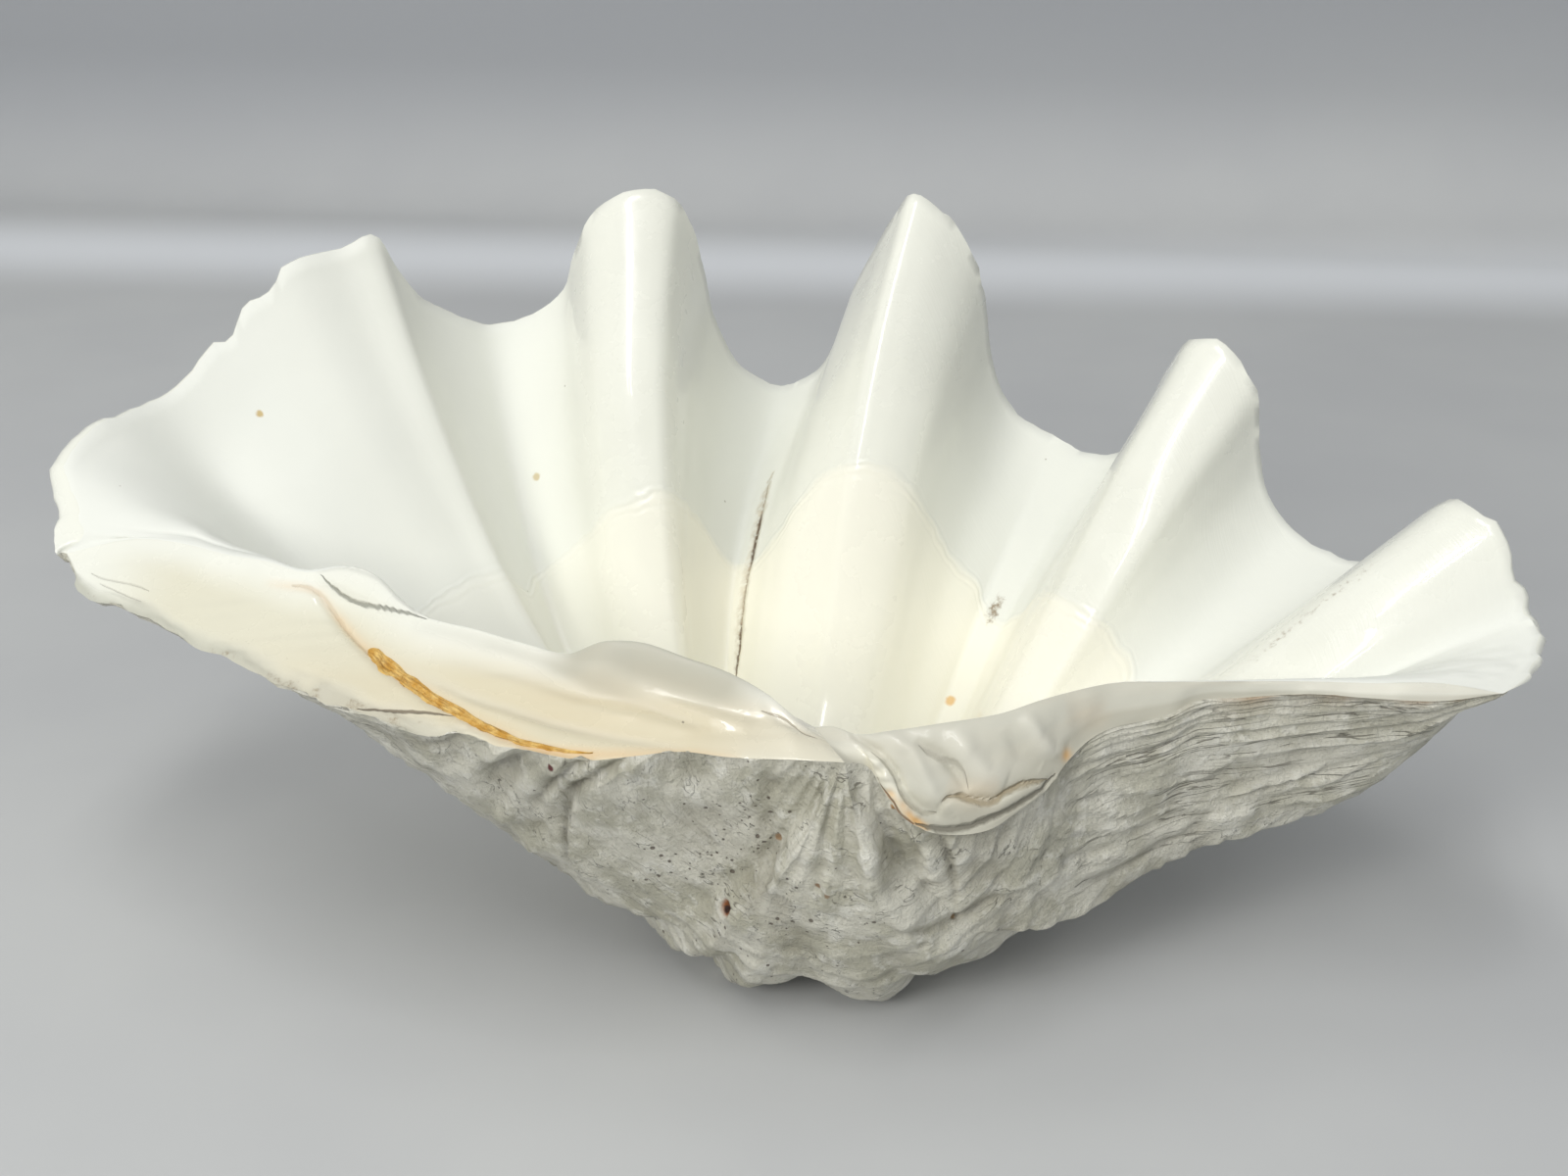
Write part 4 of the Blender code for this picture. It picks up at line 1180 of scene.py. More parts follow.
@dataclass
class Lip:
    """Reflected lip in front of the bowl: its relief and its masks, in mm."""

    columns: int = 49
    map_wide: float = 20.0
    mark_gain: float = 2.0
    marks: tuple[Mark, ...] = (
        Mark(((-3, 5, 0), (3, 5, -1), (8, 4.5, -3.5), (11.5, 2, -7.5), (15, -1, -11),
              (19, -3, -15)), 2.2, 1.1),
        Mark(((0, 11, 0), (8, 7.5, -2), (13, 4, -5), (16, 0.5, -9), (20, -0.8, -12),
              (25, -1, -14)), 1.1, -1.0),
        Mark(((8, 12, 1), (16, 9, -2), (20, 5, -6), (23, 2, -10), (27, 1, -12)), 2.0, 0.8),
        Mark(((17, 11, 0), (24, 9.5, -2.5), (28, 7.5, -5.5), (32, 5, -9.5)), 1.3, -0.9),
        Mark(((26, 16, 2), (31, 11, -3), (36, 9, -7), (41, 10, -10)), 3.0, 0.9),
        Mark(((44, 24, 2), (49, 20, -3), (53, 20, -7), (56, 23, -9)), 2.2, 0.8),
        Mark(((40, 18, 1), (45, 15, -5), (50, 16, -9)), 1.8, -0.6),
    )
    leaf: Points = (
        (24.5, -1.5, -15), (25.5, 1, -12), (28, 3, -10.5), (32, 4, -11.5), (38.5, 6, -13),
        (42, 9, -12), (45.5, 11.5, -11.5), (52, 15.5, -13),
    )
    hem: Points = (
        (20, -3.6, -15.5), (27, -2.3, -17), (33, 0, -17.3), (38, 2.8, -16.5), (44, 7.5, -15.2),
        (50, 13, -13.6), (54, 18, -12),
    )
    tanned: Points = ((26, 4, -8), (32, 4.5, -10.5), (40, 8, -10.5))
    tanned_end: Points = ((54, 30, -1), (60, 32, -3), (66, 35, -4))
    stained: Points = ((11, 1, -8), (15, -1.5, -11), (18, -3, -14), (23, -3.5, -17))
    stain_at: tuple[float, float, float] = (56, 22.5, -9.7)
    fine_lines: tuple[FineLine, ...] = (
        # The first four are painted shadow lines along the leaf, the hem and two folds; the last is
        # a brown stain.
        FineLine(leaf[1:], 0.45, 0.7, "#9A8B6E"),
        FineLine(((19, -3.4, -15), *hem[1:]), 0.5, 0.85, "#6B675A"),
        FineLine(((6, 7, -2), (13, 3.5, -5), (16, 0, -9), (20, -1, -12), (24.6, -0.6, -13.7)),
                 0.45, 0.5, "#9C9684"),
        FineLine(((18, 10, -0.6), (24, 9, -2), (28, 8, -5), (32, 5, -9.5)), 0.5, 0.35, "#9A9587"),
        FineLine(((8, 1.6, -6.5), (12, -1.4, -10), (15.5, -3, -13.2), (18.5, -3.8, -15.5)),
                 0.5, 0.8, "#8A5A2C"),
    )

    def mapped(self, surface: Array, w: Array) -> tuple[FineLine, ...]:
        """Fine lines with their places on the lip's growth map, in mm, in rising order."""
        lines = []
        for drawn in self.fine_lines:
            cells = [nearest(surface, at) for at in drawn.line]
            places = sorted((float(surface[cell][0]), float(w[cell]) * self.map_wide)
                            for cell in cells)
            lines.append(replace(drawn, line=tuple(places)))
        return tuple(lines)

    def grid(self, form: ValveForm, s: Array) -> tuple[Array, Array]:
        """Lip with arc-shaped folds and a thin leaf above the seam of its hanging edge.

        Args:
            form: The valve's smooth form.
            s: Steps along the lip.

        Returns:
            The points, and the share from the hanging edge to the crest for each of them.
        """
        w = np.linspace(0, 1, self.columns) ** 1.5
        surface = form.lip(s, w)
        up = normals(surface)
        up = np.where(up[..., 2:3] < 0, -up, up)
        folds = self.mark_gain * marked(surface, self.marks)
        folds = folds - 1.3 * stroke(surface, self.leaf, 0.9) - 1.4 * stroke(surface, self.hem, 0.8)
        outline = tuple((a, c) for a, _, c in reversed(self.leaf))
        folds = folds + marked(surface[..., [0, 2]], (Ledge(outline, 1.8, 0.5, 9.0),))
        inland = np.clip(np.sin(np.pi * w), 0, 1) ** 0.4 * ramp(s, 0.01, 0.06)[:, None]
        swell = 0.7 * noise(surface / 9, 43) + 0.3 * noise(surface / 4, 44)
        swell = swell + 1.2 * stroke(surface, self.marks[0].line, 2.6) * noise(surface / 1.8, 50)
        relief = (folds + swell) * inland * (1 - ramp(s, 0.9, 1.0))[:, None]
        return surface + up * relief[..., None], w[None, :] + 0 * s[:, None]

    def masks(self, surface: Array, w: Array) -> Masks:
        """Masks of the lip: grey ivory with painted shade in the folds and toward the hanging edge,
        tan, a white band, and painted shadow lines along the seams.
        """
        seams = stroke(surface, self.leaf, 0.6) + 1.2 * stroke(surface, self.hem, 0.6)
        folds = marked(surface, self.marks)
        tan = stroke(surface, self.tanned, 3.5) + 0.6 * stroke(surface, self.tanned_end, 4.0)
        band = stroke(surface, self.marks[0].line, 3.0)
        stain = Knob(self.stain_at, 1.6, 1.0).rise(surface)
        stain = 1.4 * stroke(surface, self.stained, 1.0) + stain
        along = surface[..., 0]
        # Greyer toward the hanging edge, which faces down, as painted shade, and over the lip's
        # first 80 to 140 mm.
        near = 0.5 * (1 - ramp(along, 80, 140)) + 0.5 * (1 - ramp(w, 0.12, 0.4))
        return {
            "growth": np.stack([w * self.map_wide, along], axis=-1),
            "warm": np.clip(0.45 * band, 0, 1),
            # Painted shadow lines along the leaf and hem seams, and painted shade in the fold
            # valleys.
            "dirt": np.clip(0.4 * seams - 0.14 * folds, 0, 1),
            # Grey painted shade: toward the hanging edge and in the fold valleys, less on the fold
            # crests and on the white band.
            "shade_and_matt": np.clip(near + 0.25 - 0.9 * band - 0.3 * folds, 0, 1),
            "amber": np.clip(0.16 * tan + 0.8 * stain + 0.06, 0, 1),
            "zone": 1 + 0 * w,
        }


@dataclass
class ShellValve:
    """The whole valve as one closed mesh.

    The grids share their edges point for point: two fans of spokes, the hinge plate, the byssal
    lip and the narrow strip of the margin. The inside has every second step of the outside.
    """

    design: ValveDesign
    spokes: int = 373
    steps: int = 147
    edge_columns: int = 5
    rim_ragged: float = 0.45
    outside: Outside = field(default_factory=Outside)
    bowl: Bowl = field(default_factory=Bowl)
    hinge: Hinge = field(default_factory=Hinge)
    lip: Lip = field(default_factory=Lip)
    chips: tuple[Chip, ...] = (
        Chip(0.113, 0.006, 3.2), Chip(0.134, 0.007, 2.6), Chip(0.019, 0.004, 0.9),
        Chip(0.0065, 0.005, 1.7), Chip(0.062, 0.004, 1.2), Chip(0.093, 0.004, 1.0),
        Chip(0.548, 0.003, 1.0), Chip(0.579, 0.004, 1.2), Chip(0.905, 0.003, 1.2),
        Chip(0.930, 0.003, 1.0), Chip(0.951, 0.004, 1.8), Chip(0.962, 0.003, 1.3),
        Chip(0.976, 0.004, 1.6), Chip(0.985, 0.003, 1.2), Chip(0.772, 0.003, 1.0),
    )
    tuck: Chip = Chip(0.014, 0.018, 5.2)
    crowded: Points = (
        (0.443, 0.012, 2.5), (0.66, 0.012, 1.5), (0.228, 0.015, 0.8),
        (0.986, 0.016, 9), (0.0, 0.03, 3), (0.57, 0.04, 0.4),
    )

    def spoke_places(self) -> Array:
        """Places u of the spokes, closer together on the layered walls and in narrow grooves."""
        fine = np.linspace(0, 1, 4001)
        density = np.ones_like(fine)
        for at, half, gain in self.crowded:
            density += gain * bell((fine - at) / half)
        return spread(density, self.spokes)

    def step_places(self) -> Array:
        """Steps s of the rows, closer together on the front of the outside and at the margin."""
        fine = np.linspace(0, 1, 2001)
        density = 1 + 2.2 * window(fine, (0.02, 0.06), (0.34, 0.46))
        density += 0.7 * bell((fine - 0.71) / 0.05) + 1.2 * ramp(fine, 0.93, 0.99)
        density += 0.8 * bell((fine - 0.61) / 0.06)
        return spread(density, self.steps)

    def bites(self, u: Array) -> Array:
        """How far the margin is worn back at each spoke, in mm: a ragged edge and the chips."""
        ragged = np.stack([u * 1000 / 7, 0 * u], axis=-1)
        amount = self.rim_ragged * (noise(ragged, 31) + 0.6 * noise(ragged * 2.7, 32))
        for chip in self.chips:
            amount += chip.deep * chip.arch(u) ** 0.6
        return amount * off_sides(u, 0.008)

    def bite(self, grid: Array, u: Array, s: Array) -> Array:
        """Pull the margin's end of every spoke back along the spoke: the tuck and the bites.

        Args:
            grid: Points, one row for each spoke.
            u: Places of the spokes.
            s: Steps along the spokes.

        Returns:
            The points after it.
        """
        near = int(np.searchsorted(s, 0.93))
        back = unit(grid[:, near] - grid[:, -1])[:, None, :]
        tuck = self.tuck.deep * self.tuck.arch(u) * ramp(u, 0, 0.004)
        grid = grid + back * tuck[:, None, None] * ramp(s, 0.8, 1.0)[None, :, None]
        share = ramp(s, 0.95, 1.0)[None, :, None] ** 1.5
        return grid + back * self.bites(u)[:, None, None] * share

    def edge_grid(self, inside: Array, outside: Array) -> Array:
        """Rounded edge of the margin: straight across, plus a bulge that is half a sine wave."""
        w = np.linspace(0, 1, self.edge_columns)[None, :, None]
        strip = inside[:, -1][:, None] * (1 - w) + outside[:, -1][:, None] * w
        growth = unit(inside[:, -1] - inside[:, -2])
        thick = np.linalg.norm(inside[:, -1] - outside[:, -1], axis=1)
        bulge = (growth * thick[:, None])[:, None] * self.design.edge_bulge * np.sin(np.pi * w)
        return strip + bulge

    def edge_masks(self, edge: Array) -> Masks:
        """Masks of the margin's edge: clean and white, faintly grey toward the outside."""
        w = np.linspace(0, 1, self.edge_columns)[None, :] + 0 * edge[..., 0]
        return {
            "growth": np.stack([run_over(edge, 0), w * 3], axis=-1),
            "warm": 0 * w,
            "dirt": 0.1 * w,
            "shade_and_matt": 0.3 * w,
            "amber": 0 * w,
            "zone": 0.98 + 0 * w,
        }

    def join_strips(self, inside: Array, outside: Array, edge: Array,
                    plate: Array, lip: Array) -> None:
        """Give the two strips of the hinge side the same points as the fans and the edge.

        Args:
            inside: Points of the inner fan.
            outside: Points of the outer fan.
            edge: Points of the margin's edge, pinched to one point at both ends.
            plate: Points of the hinge plate, changed in place.
            lip: Points of the lip, changed in place.
        """
        plate[:, 0], plate[::2, -1] = outside[0], inside[0]
        lip[:, 0], lip[::2, -1] = outside[-1], inside[-1]
        for strip in (plate, lip):
            strip[0] = np.linspace(0, 1, strip.shape[1])[:, None] * inside[0, 0]
        edge[0] = edge[0, 0]
        edge[-1] = edge[-1, 0]
        plate[-1] = edge[0, 0]
        lip[-1] = edge[-1, 0]

    def build(self) -> tuple[bpy.types.Object, Drawn]:
        """Work out all grids, weld them along their shared edges and make the mesh.

        Returns:
            The object, and what its materials draw on it.
        """
        s = self.step_places()
        s_in = s[::2]
        form = ValveForm(self.design, self.spoke_places())
        inside = form.inner(s_in)
        inside_masks = self.bowl.masks(form, inside, s_in)
        bowl_lines = self.bowl.fine_lines(form, inside, s_in)
        inside = inside + normals(inside) * self.bowl.relief(form, inside, s_in)[..., None]
        inside = self.bite(form.even_out(inside, s_in), form.u, s_in)
        smooth_outside = form.outer(s)
        relief = self.outside.relief(form, smooth_outside, s)
        outside_masks = self.outside.masks(form, smooth_outside, s, relief)
        down = -normals(smooth_outside)
        down[:, 0] = 0
        outside = self.bite(smooth_outside + down * relief[..., None], form.u, s)
        outside_spots = [replace(spot, at=outside[nearest(smooth_outside, spot.at)])
                         for spot in self.outside.spots]
        plate, plate_w = self.hinge.grid(form, s)
        lip, lip_w = self.lip.grid(form, s)
        shift = self.hinge.worn_edge(form, s)
        outside = outside + shift[None] * (1 - ramp(form.u, 0, 0.012))[:, None, None]
        plate = plate + shift[:, None] * (1 - ramp(plate_w, 0, 0.2))[..., None]
        edge = self.edge_grid(inside, outside)
        self.join_strips(inside, outside, edge, plate, lip)
        patches = [
            grid_patch(inside, inside_masks, Skin.PORCELAIN, True),
            grid_patch(outside, outside_masks, Skin.WEATHERED, False),
            grid_patch(edge, self.edge_masks(edge), Skin.PORCELAIN, True),
        ]
        plate_masks = self.hinge.masks(plate, plate_w, self.design.ligament_line)
        for strip, masks, turned in ((plate, plate_masks, False),
                                     (lip, self.lip.masks(lip, lip_w), True)):
            shorter = {name: grid[:, :-1] for name, grid in masks.items()}
            patches.append(grid_patch(strip[:, :-1], shorter, Skin.PORCELAIN, turned))
            patches.append(seam_patch(strip, masks, Skin.PORCELAIN, turned))
        drawn = Drawn(
            bowl_lines=bowl_lines,
            strip_lines=self.hinge.fine_lines + self.lip.mapped(lip, lip_w),
            bowl_spots=self.laid(self.bowl.spots),
            outside_spots=self.laid(outside_spots),
        )
        return weld("shell_valve_dressed", patches, self.design), drawn

    def laid(self, spots: Sequence[Spot]) -> tuple[Spot, ...]:
        """The spots with their places in the part's frame, in metres."""
        return tuple(replace(spot, at=tuple(self.design.lay(np.array(spot.at, float))))
                     for spot in spots)


@dataclass
class Patch:
    """One part of a closed mesh: points, masks and triangles by the numbers of its points."""

    points: Array
    masks: Masks
    triangles: Array
    skin: Skin


def grid_patch(points: Array, masks: Masks, skin: Skin, turned: bool) -> Patch:
    """Patch of a grid: two triangles for each cell.

    Args:
        points: The grid's points.
        masks: Grids of values by name.
        skin: The finish of its faces.
        turned: Whether its triangles run the other way round.

    Returns:
        The patch.
    """
    triangles = grid_triangles(*points.shape[:2])
    count = points.shape[0] * points.shape[1]
    flat = {name: grid.reshape(count, -1) for name, grid in masks.items()}
    return Patch(points.reshape(-1, 3), flat, triangles[:, ::-1] if turned else triangles, skin)


def seam_patch(points: Array, masks: Masks, skin: Skin, turned: bool) -> Patch:
    """Patch of the last two columns of a strip, where its last column has every second row.

    Args:
        points: The strip's points.
        masks: The strip's grids of values by name.
        skin: The finish of its faces.
        turned: Whether its triangles run the other way round.

    Returns:
        The patch: three triangles for every two rows.
    """
    fine = np.arange(0, len(points) - 1, 2)
    coarse = len(points) + fine // 2
    triangles = np.concatenate([
        np.stack([fine, coarse, fine + 1], 1),
        np.stack([fine + 1, coarse, coarse + 1], 1),
        np.stack([fine + 1, coarse + 1, fine + 2], 1),
    ])
    both = np.concatenate([points[:, -2], points[::2, -1]])
    flat = {name: np.concatenate([grid[:, -2], grid[::2, -1]]).reshape(len(both), -1)
            for name, grid in masks.items()}
    return Patch(both, flat, triangles[:, ::-1] if turned else triangles, skin)


def grid_triangles(rows: int, columns: int) -> Array:
    """Two triangles for each cell of a grid, by the numbers of its points.

    Args:
        rows: Rows of points.
        columns: Columns of points.

    Returns:
        One row of three numbers for each triangle.
    """
    number = np.arange(rows * columns).reshape(rows, columns)
    a, b = number[:-1, :-1].ravel(), number[:-1, 1:].ravel()
    c, d = number[1:, 1:].ravel(), number[1:, :-1].ravel()
    return np.concatenate([np.stack([a, b, c], 1), np.stack([a, c, d], 1)])


def weld(name: str, patches: list[Patch], design: ValveDesign) -> bpy.types.Object:
    """Join patches whose edges hold the same points into one closed mesh in the part's frame.

    Points that agree to a hundredth of a millimetre become one. Triangles that lose a corner by
    that, and pairs that lie back to back, are left out. The masks stay with the corners of each
    patch's own faces.

    Args:
        name: Name of the object.
        patches: The patches.
        design: The valve's design values, for its pose.

    Returns:
        The object, at the origin.
    """
    points = np.concatenate([patch.points for patch in patches])
    starts = np.cumsum([0] + [len(patch.points) for patch in patches[:-1]])
    _, first, number = np.unique(
        np.round(points, 2), axis=0, return_index=True, return_inverse=True)
    corners = np.concatenate([patch.triangles + at for patch, at in zip(patches, starts)])
    skins = np.concatenate([np.full(len(p.triangles), p.skin.value) for p in patches])
    welded = number.ravel()[corners]
    whole = (welded[:, 0] != welded[:, 1]) & (welded[:, 1] != welded[:, 2])
    whole &= welded[:, 0] != welded[:, 2]
    _, same, times = np.unique(
        np.sort(welded, axis=1), axis=0, return_inverse=True, return_counts=True)
    whole &= times[same.ravel()] == 1
    corners, welded, skins = corners[whole], welded[whole], skins[whole]
    laid = design.lay(points[first])
    laid[:, 2] = np.maximum(laid[:, 2], 0.0)
    mesh = bpy.data.meshes.new(name)
    fill_mesh(mesh, laid, welded)
    mesh.polygons.foreach_set("material_index", skins.astype(np.int32))
    growth = np.concatenate([patch.masks["growth"] for patch in patches]) * MM
    uv = mesh.uv_layers.new(name="growth")
    uv.data.foreach_set("uv", growth[corners.ravel()].astype(np.float32).ravel())
    for mask in MASKS:
        value = np.concatenate([patch.masks[mask] for patch in patches])
        attribute = mesh.attributes.new(mask, "FLOAT", "CORNER")
        attribute.data.foreach_set("value", value[corners.ravel()].astype(np.float32).ravel())
    mesh.set_sharp_from_angle(angle=math.radians(62))
    return place_object(name, mesh)


def fill_mesh(mesh: bpy.types.Mesh, points: Array, triangles: Array) -> None:
    """Put points and triangles into an empty mesh as whole arrays, and shade it smooth."""
    count = len(triangles)
    mesh.vertices.add(len(points))
    mesh.vertices.foreach_set("co", points.astype(np.float32).ravel())
    mesh.loops.add(3 * count)
    mesh.loops.foreach_set("vertex_index", triangles.astype(np.int32).ravel())
    mesh.polygons.add(count)
    mesh.polygons.foreach_set("loop_start", (3 * np.arange(count)).astype(np.int32))
    mesh.update(calc_edges=True)
    mesh.validate()
    mesh.shade_smooth()


def place_object(name: str, data: bpy.types.ID) -> bpy.types.Object:
    """Make an object for the mesh, light or camera and link it to the scene, at the origin."""
    placed = bpy.data.objects.new(name, data)
    bpy.context.scene.collection.objects.link(placed)
    return placed


def tone(code: str) -> tuple[float, float, float, float]:
    """Linear colour of an sRGB hex value such as "#C89B3C"."""
    parts = [int(code[i:i + 2], 16) / 255 for i in (1, 3, 5)]
    line = [v / 12.92 if v <= 0.04045 else ((v + 0.055) / 1.055) ** 2.4 for v in parts]
    return (*line, 1.0)


class Node(Enum):
    """Nodes of the finishes: type, places of its inputs, its output (or None) and its settings.

    A single word is an operation of the Math node.
    """

    SHADER = ("BsdfPrincipled", (), None, {})
    OUTPUT = ("OutputMaterial", ("Surface",), None, {})
    PLACE = ("TexCoord", (), "Object", {})
    GROWTH = ("UVMap", (), "UV", {"uv_map": "growth"})
    MASK = ("Attribute", (), "Fac", {})
    STRETCH = ("Mapping", ("Vector", "Scale"), "Vector", {})
    NOISE = ("TexNoise", ("Vector", "Scale", "Detail", "Roughness"), "Fac", {})
    CELLS = ("TexVoronoi", ("Vector", "Scale", "Randomness"), None, {})
    PARTS = ("SeparateXYZ", (0,), None, {})
    CHANNELS = ("SeparateColor", (0,), None, {})
    CURVE = ("FloatCurve", ("Value",), None, {})
    BUMP = ("Bump", ("Height", "Distance", "Strength", "Normal"), 0, {})
    DISTANCE = ("VectorMath", (0, 1), "Value", {"operation": "DISTANCE"})
    MIX = ("Mix", (0, 2, 3), 0, {})
    BLEND = ("Mix", (0, 6, 7), 2, {"data_type": "RGBA"})
    STRAIGHT = ("MapRange", ("Value", 1, 2), 0, {})
    SOFT = ("MapRange", ("Value", 1, 2, 3, 4), 0, {"interpolation_type": "SMOOTHSTEP"})
    PLUS = "ADD"
    LESS = "SUBTRACT"
    TIMES = "MULTIPLY"
    DIVIDED = "DIVIDE"
    POWER = "POWER"
    LARGER = "MAXIMUM"
    ABOVE = "GREATER_THAN"
    BELOW = "LESS_THAN"
    ABSOLUTE = "ABSOLUTE"
    SINE = "SINE"


class Coat:
    """A material being built: its node tree, and the colour that it has so far."""

    def __init__(self, name: str, shader: dict[str, float], ground: str) -> None:
        """Start a material.

        Args:
            name: Its name.
            shader: Constants of its principled shader, by socket name.
            ground: The colour under all others, as an sRGB hex value.
        """
        self.material = bpy.data.materials.new(name)
        self.material.use_nodes = True
        self.tree = self.material.node_tree
        self.tree.nodes.clear()
        self.shader = self.add(Node.SHADER)
        for key, value in shader.items():
            self.shader.inputs[key].default_value = value
        self.add(Node.OUTPUT, self.shader.outputs[0])
        self.place = self.add(Node.PLACE)
        self.growth = self.add(Node.GROWTH)
        self.colour: Feed = tone(ground)

    def add(self, node: Node, *inputs: Feed, **settings: str | bool) -> Socket | bpy.types.Node:
        """Add one node, set its settings, and set or link its inputs.

        Args:
            node: Which node it is.
            *inputs: Values, or sockets to link from, in the order of the node's places.
            **settings: The node's own properties.

        Returns:
            Its output socket, or the node itself where it has no single output.
        """
        math_node = ("Math", (0, 1), 0, {"operation": node.value})
        kind, places, output, fixed = math_node if isinstance(node.value, str) else node.value
        made = self.tree.nodes.new("ShaderNode" + kind)
        for key, value in {**fixed, **settings}.items():
            setattr(made, key, value)
        for key, value in zip(places, inputs):
            if isinstance(value, Socket):
                self.tree.links.new(value, made.inputs[key])
            else:
                made.inputs[key].default_value = value
        return made if output is None else made.outputs[output]

    def masks(self, *names: str) -> list[Socket]:
        """Masks that the mesh carries, by their names."""
        return [self.add(Node.MASK, attribute_name=name) for name in names]

    def tint(self, share: Feed, over: Feed | str) -> None:
        """Lay a colour, given as a socket or an sRGB hex value, over the colour so far."""
        over = tone(over) if isinstance(over, str) else over
        self.colour = self.add(Node.BLEND, share, self.colour, over)

    def set(self, name: str, socket: Socket) -> None:
        """Link a socket to the shader."""
        self.tree.links.new(socket, self.shader.inputs[name])

    def grain(self, size_mm: float | tuple[float, ...], where: Socket | None = None,
              detail: float = 4.0, rough: float = 0.55) -> Socket:
        """Noise whose main features have the given size in mm; three sizes stretch it."""
        where = self.place if where is None else where
        if isinstance(size_mm, tuple):
            where = self.add(Node.STRETCH, where, tuple(1 / (size * MM) for size in size_mm))
            return self.add(Node.NOISE, where, 1.0, detail, rough)
        return self.add(Node.NOISE, where, 1 / (size_mm * MM), detail, rough)

    def around(self, share: Socket, size: float) -> Socket:
        """A share from 0 to 1 moved to lie around 0, over the given whole size."""
        return self.add(Node.TIMES, self.add(Node.LESS, share, 0.5), size)

    def spot(self, spot: Spot, soft: float = 0.35, torn: float = 0.8) -> None:
        """Lay a round mark over the colour, with a softly torn outline."""
        radius = spot.radius * MM
        away = self.add(Node.DISTANCE, self.place, spot.at)
        wobble = self.add(Node.TIMES, self.grain(spot.radius * 1.2, detail=2.0), radius * torn)
        away = self.add(Node.PLUS, away, wobble)
        inside = self.add(Node.SOFT, away, radius * (1.4 - soft), radius * (1.4 + soft), 1, 0)
        self.tint(inside, spot.colour)

    def trace(self, drawn: FineLine, in_bowl: bool) -> Socket:
        """Thin dark line over the growth map, as a mask from 0 to 1, thinner at both its ends.

        Args:
            drawn: The line, with its places on the growth map in mm: the second coordinate,
                which rises, and the first one. A curve through them gives the first coordinate.
            in_bowl: Whether it lies in the bowl and not on the strips of the hinge and the lip.

        Returns:
            The mask's socket.
        """
        add = self.add
        line = np.array(drawn.line, float)
        low, high = line.min(axis=0), line.max(axis=0)
        scaled = (line - low) / np.maximum(high - low, 1e-6)
        parts = add(Node.PARTS, self.growth).outputs
        run = add(Node.STRAIGHT, parts[1], low[0] * MM, high[0] * MM)
        bend = add(Node.CURVE, run)
        points = bend.mapping.curves[0].points
        for place in scaled[1:-1]:
            points.new(*place)
        points[0].location = scaled[0]
        points[-1].location = scaled[-1]
        bend.mapping.update()
        at = add(Node.TIMES, bend.outputs[0], float(high[1] - low[1]) * MM)
        away = add(Node.LESS, parts[0], add(Node.PLUS, at, float(low[1]) * MM))
        away = add(Node.PLUS, away, self.around(self.grain(3.0), drawn.half * 2 * MM))
        thin = add(Node.TIMES, drawn.half * MM, add(Node.SOFT, run, 0.0, 0.2, 0.3, 1.0))
        thin = add(Node.TIMES, thin, add(Node.SOFT, run, 0.8, 1.0, 1.0, 0.3))
        away = add(Node.DIVIDED, add(Node.ABSOLUTE, away), thin)
        shown = add(Node.TIMES, add(Node.SOFT, run, 0, 0.02), add(Node.SOFT, run, 0.98, 1, 1, 0))
        mask = add(Node.TIMES, add(Node.LESS, 1.4, away, use_clamp=True), shown)
        where = add(Node.BELOW if in_bowl else Node.ABOVE, *self.masks("zone"), STRIP_ZONE)
        return add(Node.TIMES, mask, where)

    def bumps(self, *layers: tuple[Socket, float]) -> None:
        """Chain of bumps, each a height from 0 to 1 with its depth in mm."""
        normal: tuple[Socket, ...] = ()
        for height, deep in layers:
            normal = (self.add(Node.BUMP, height, deep * MM, 1.0, *normal),)
        self.set("Normal", normal[0])


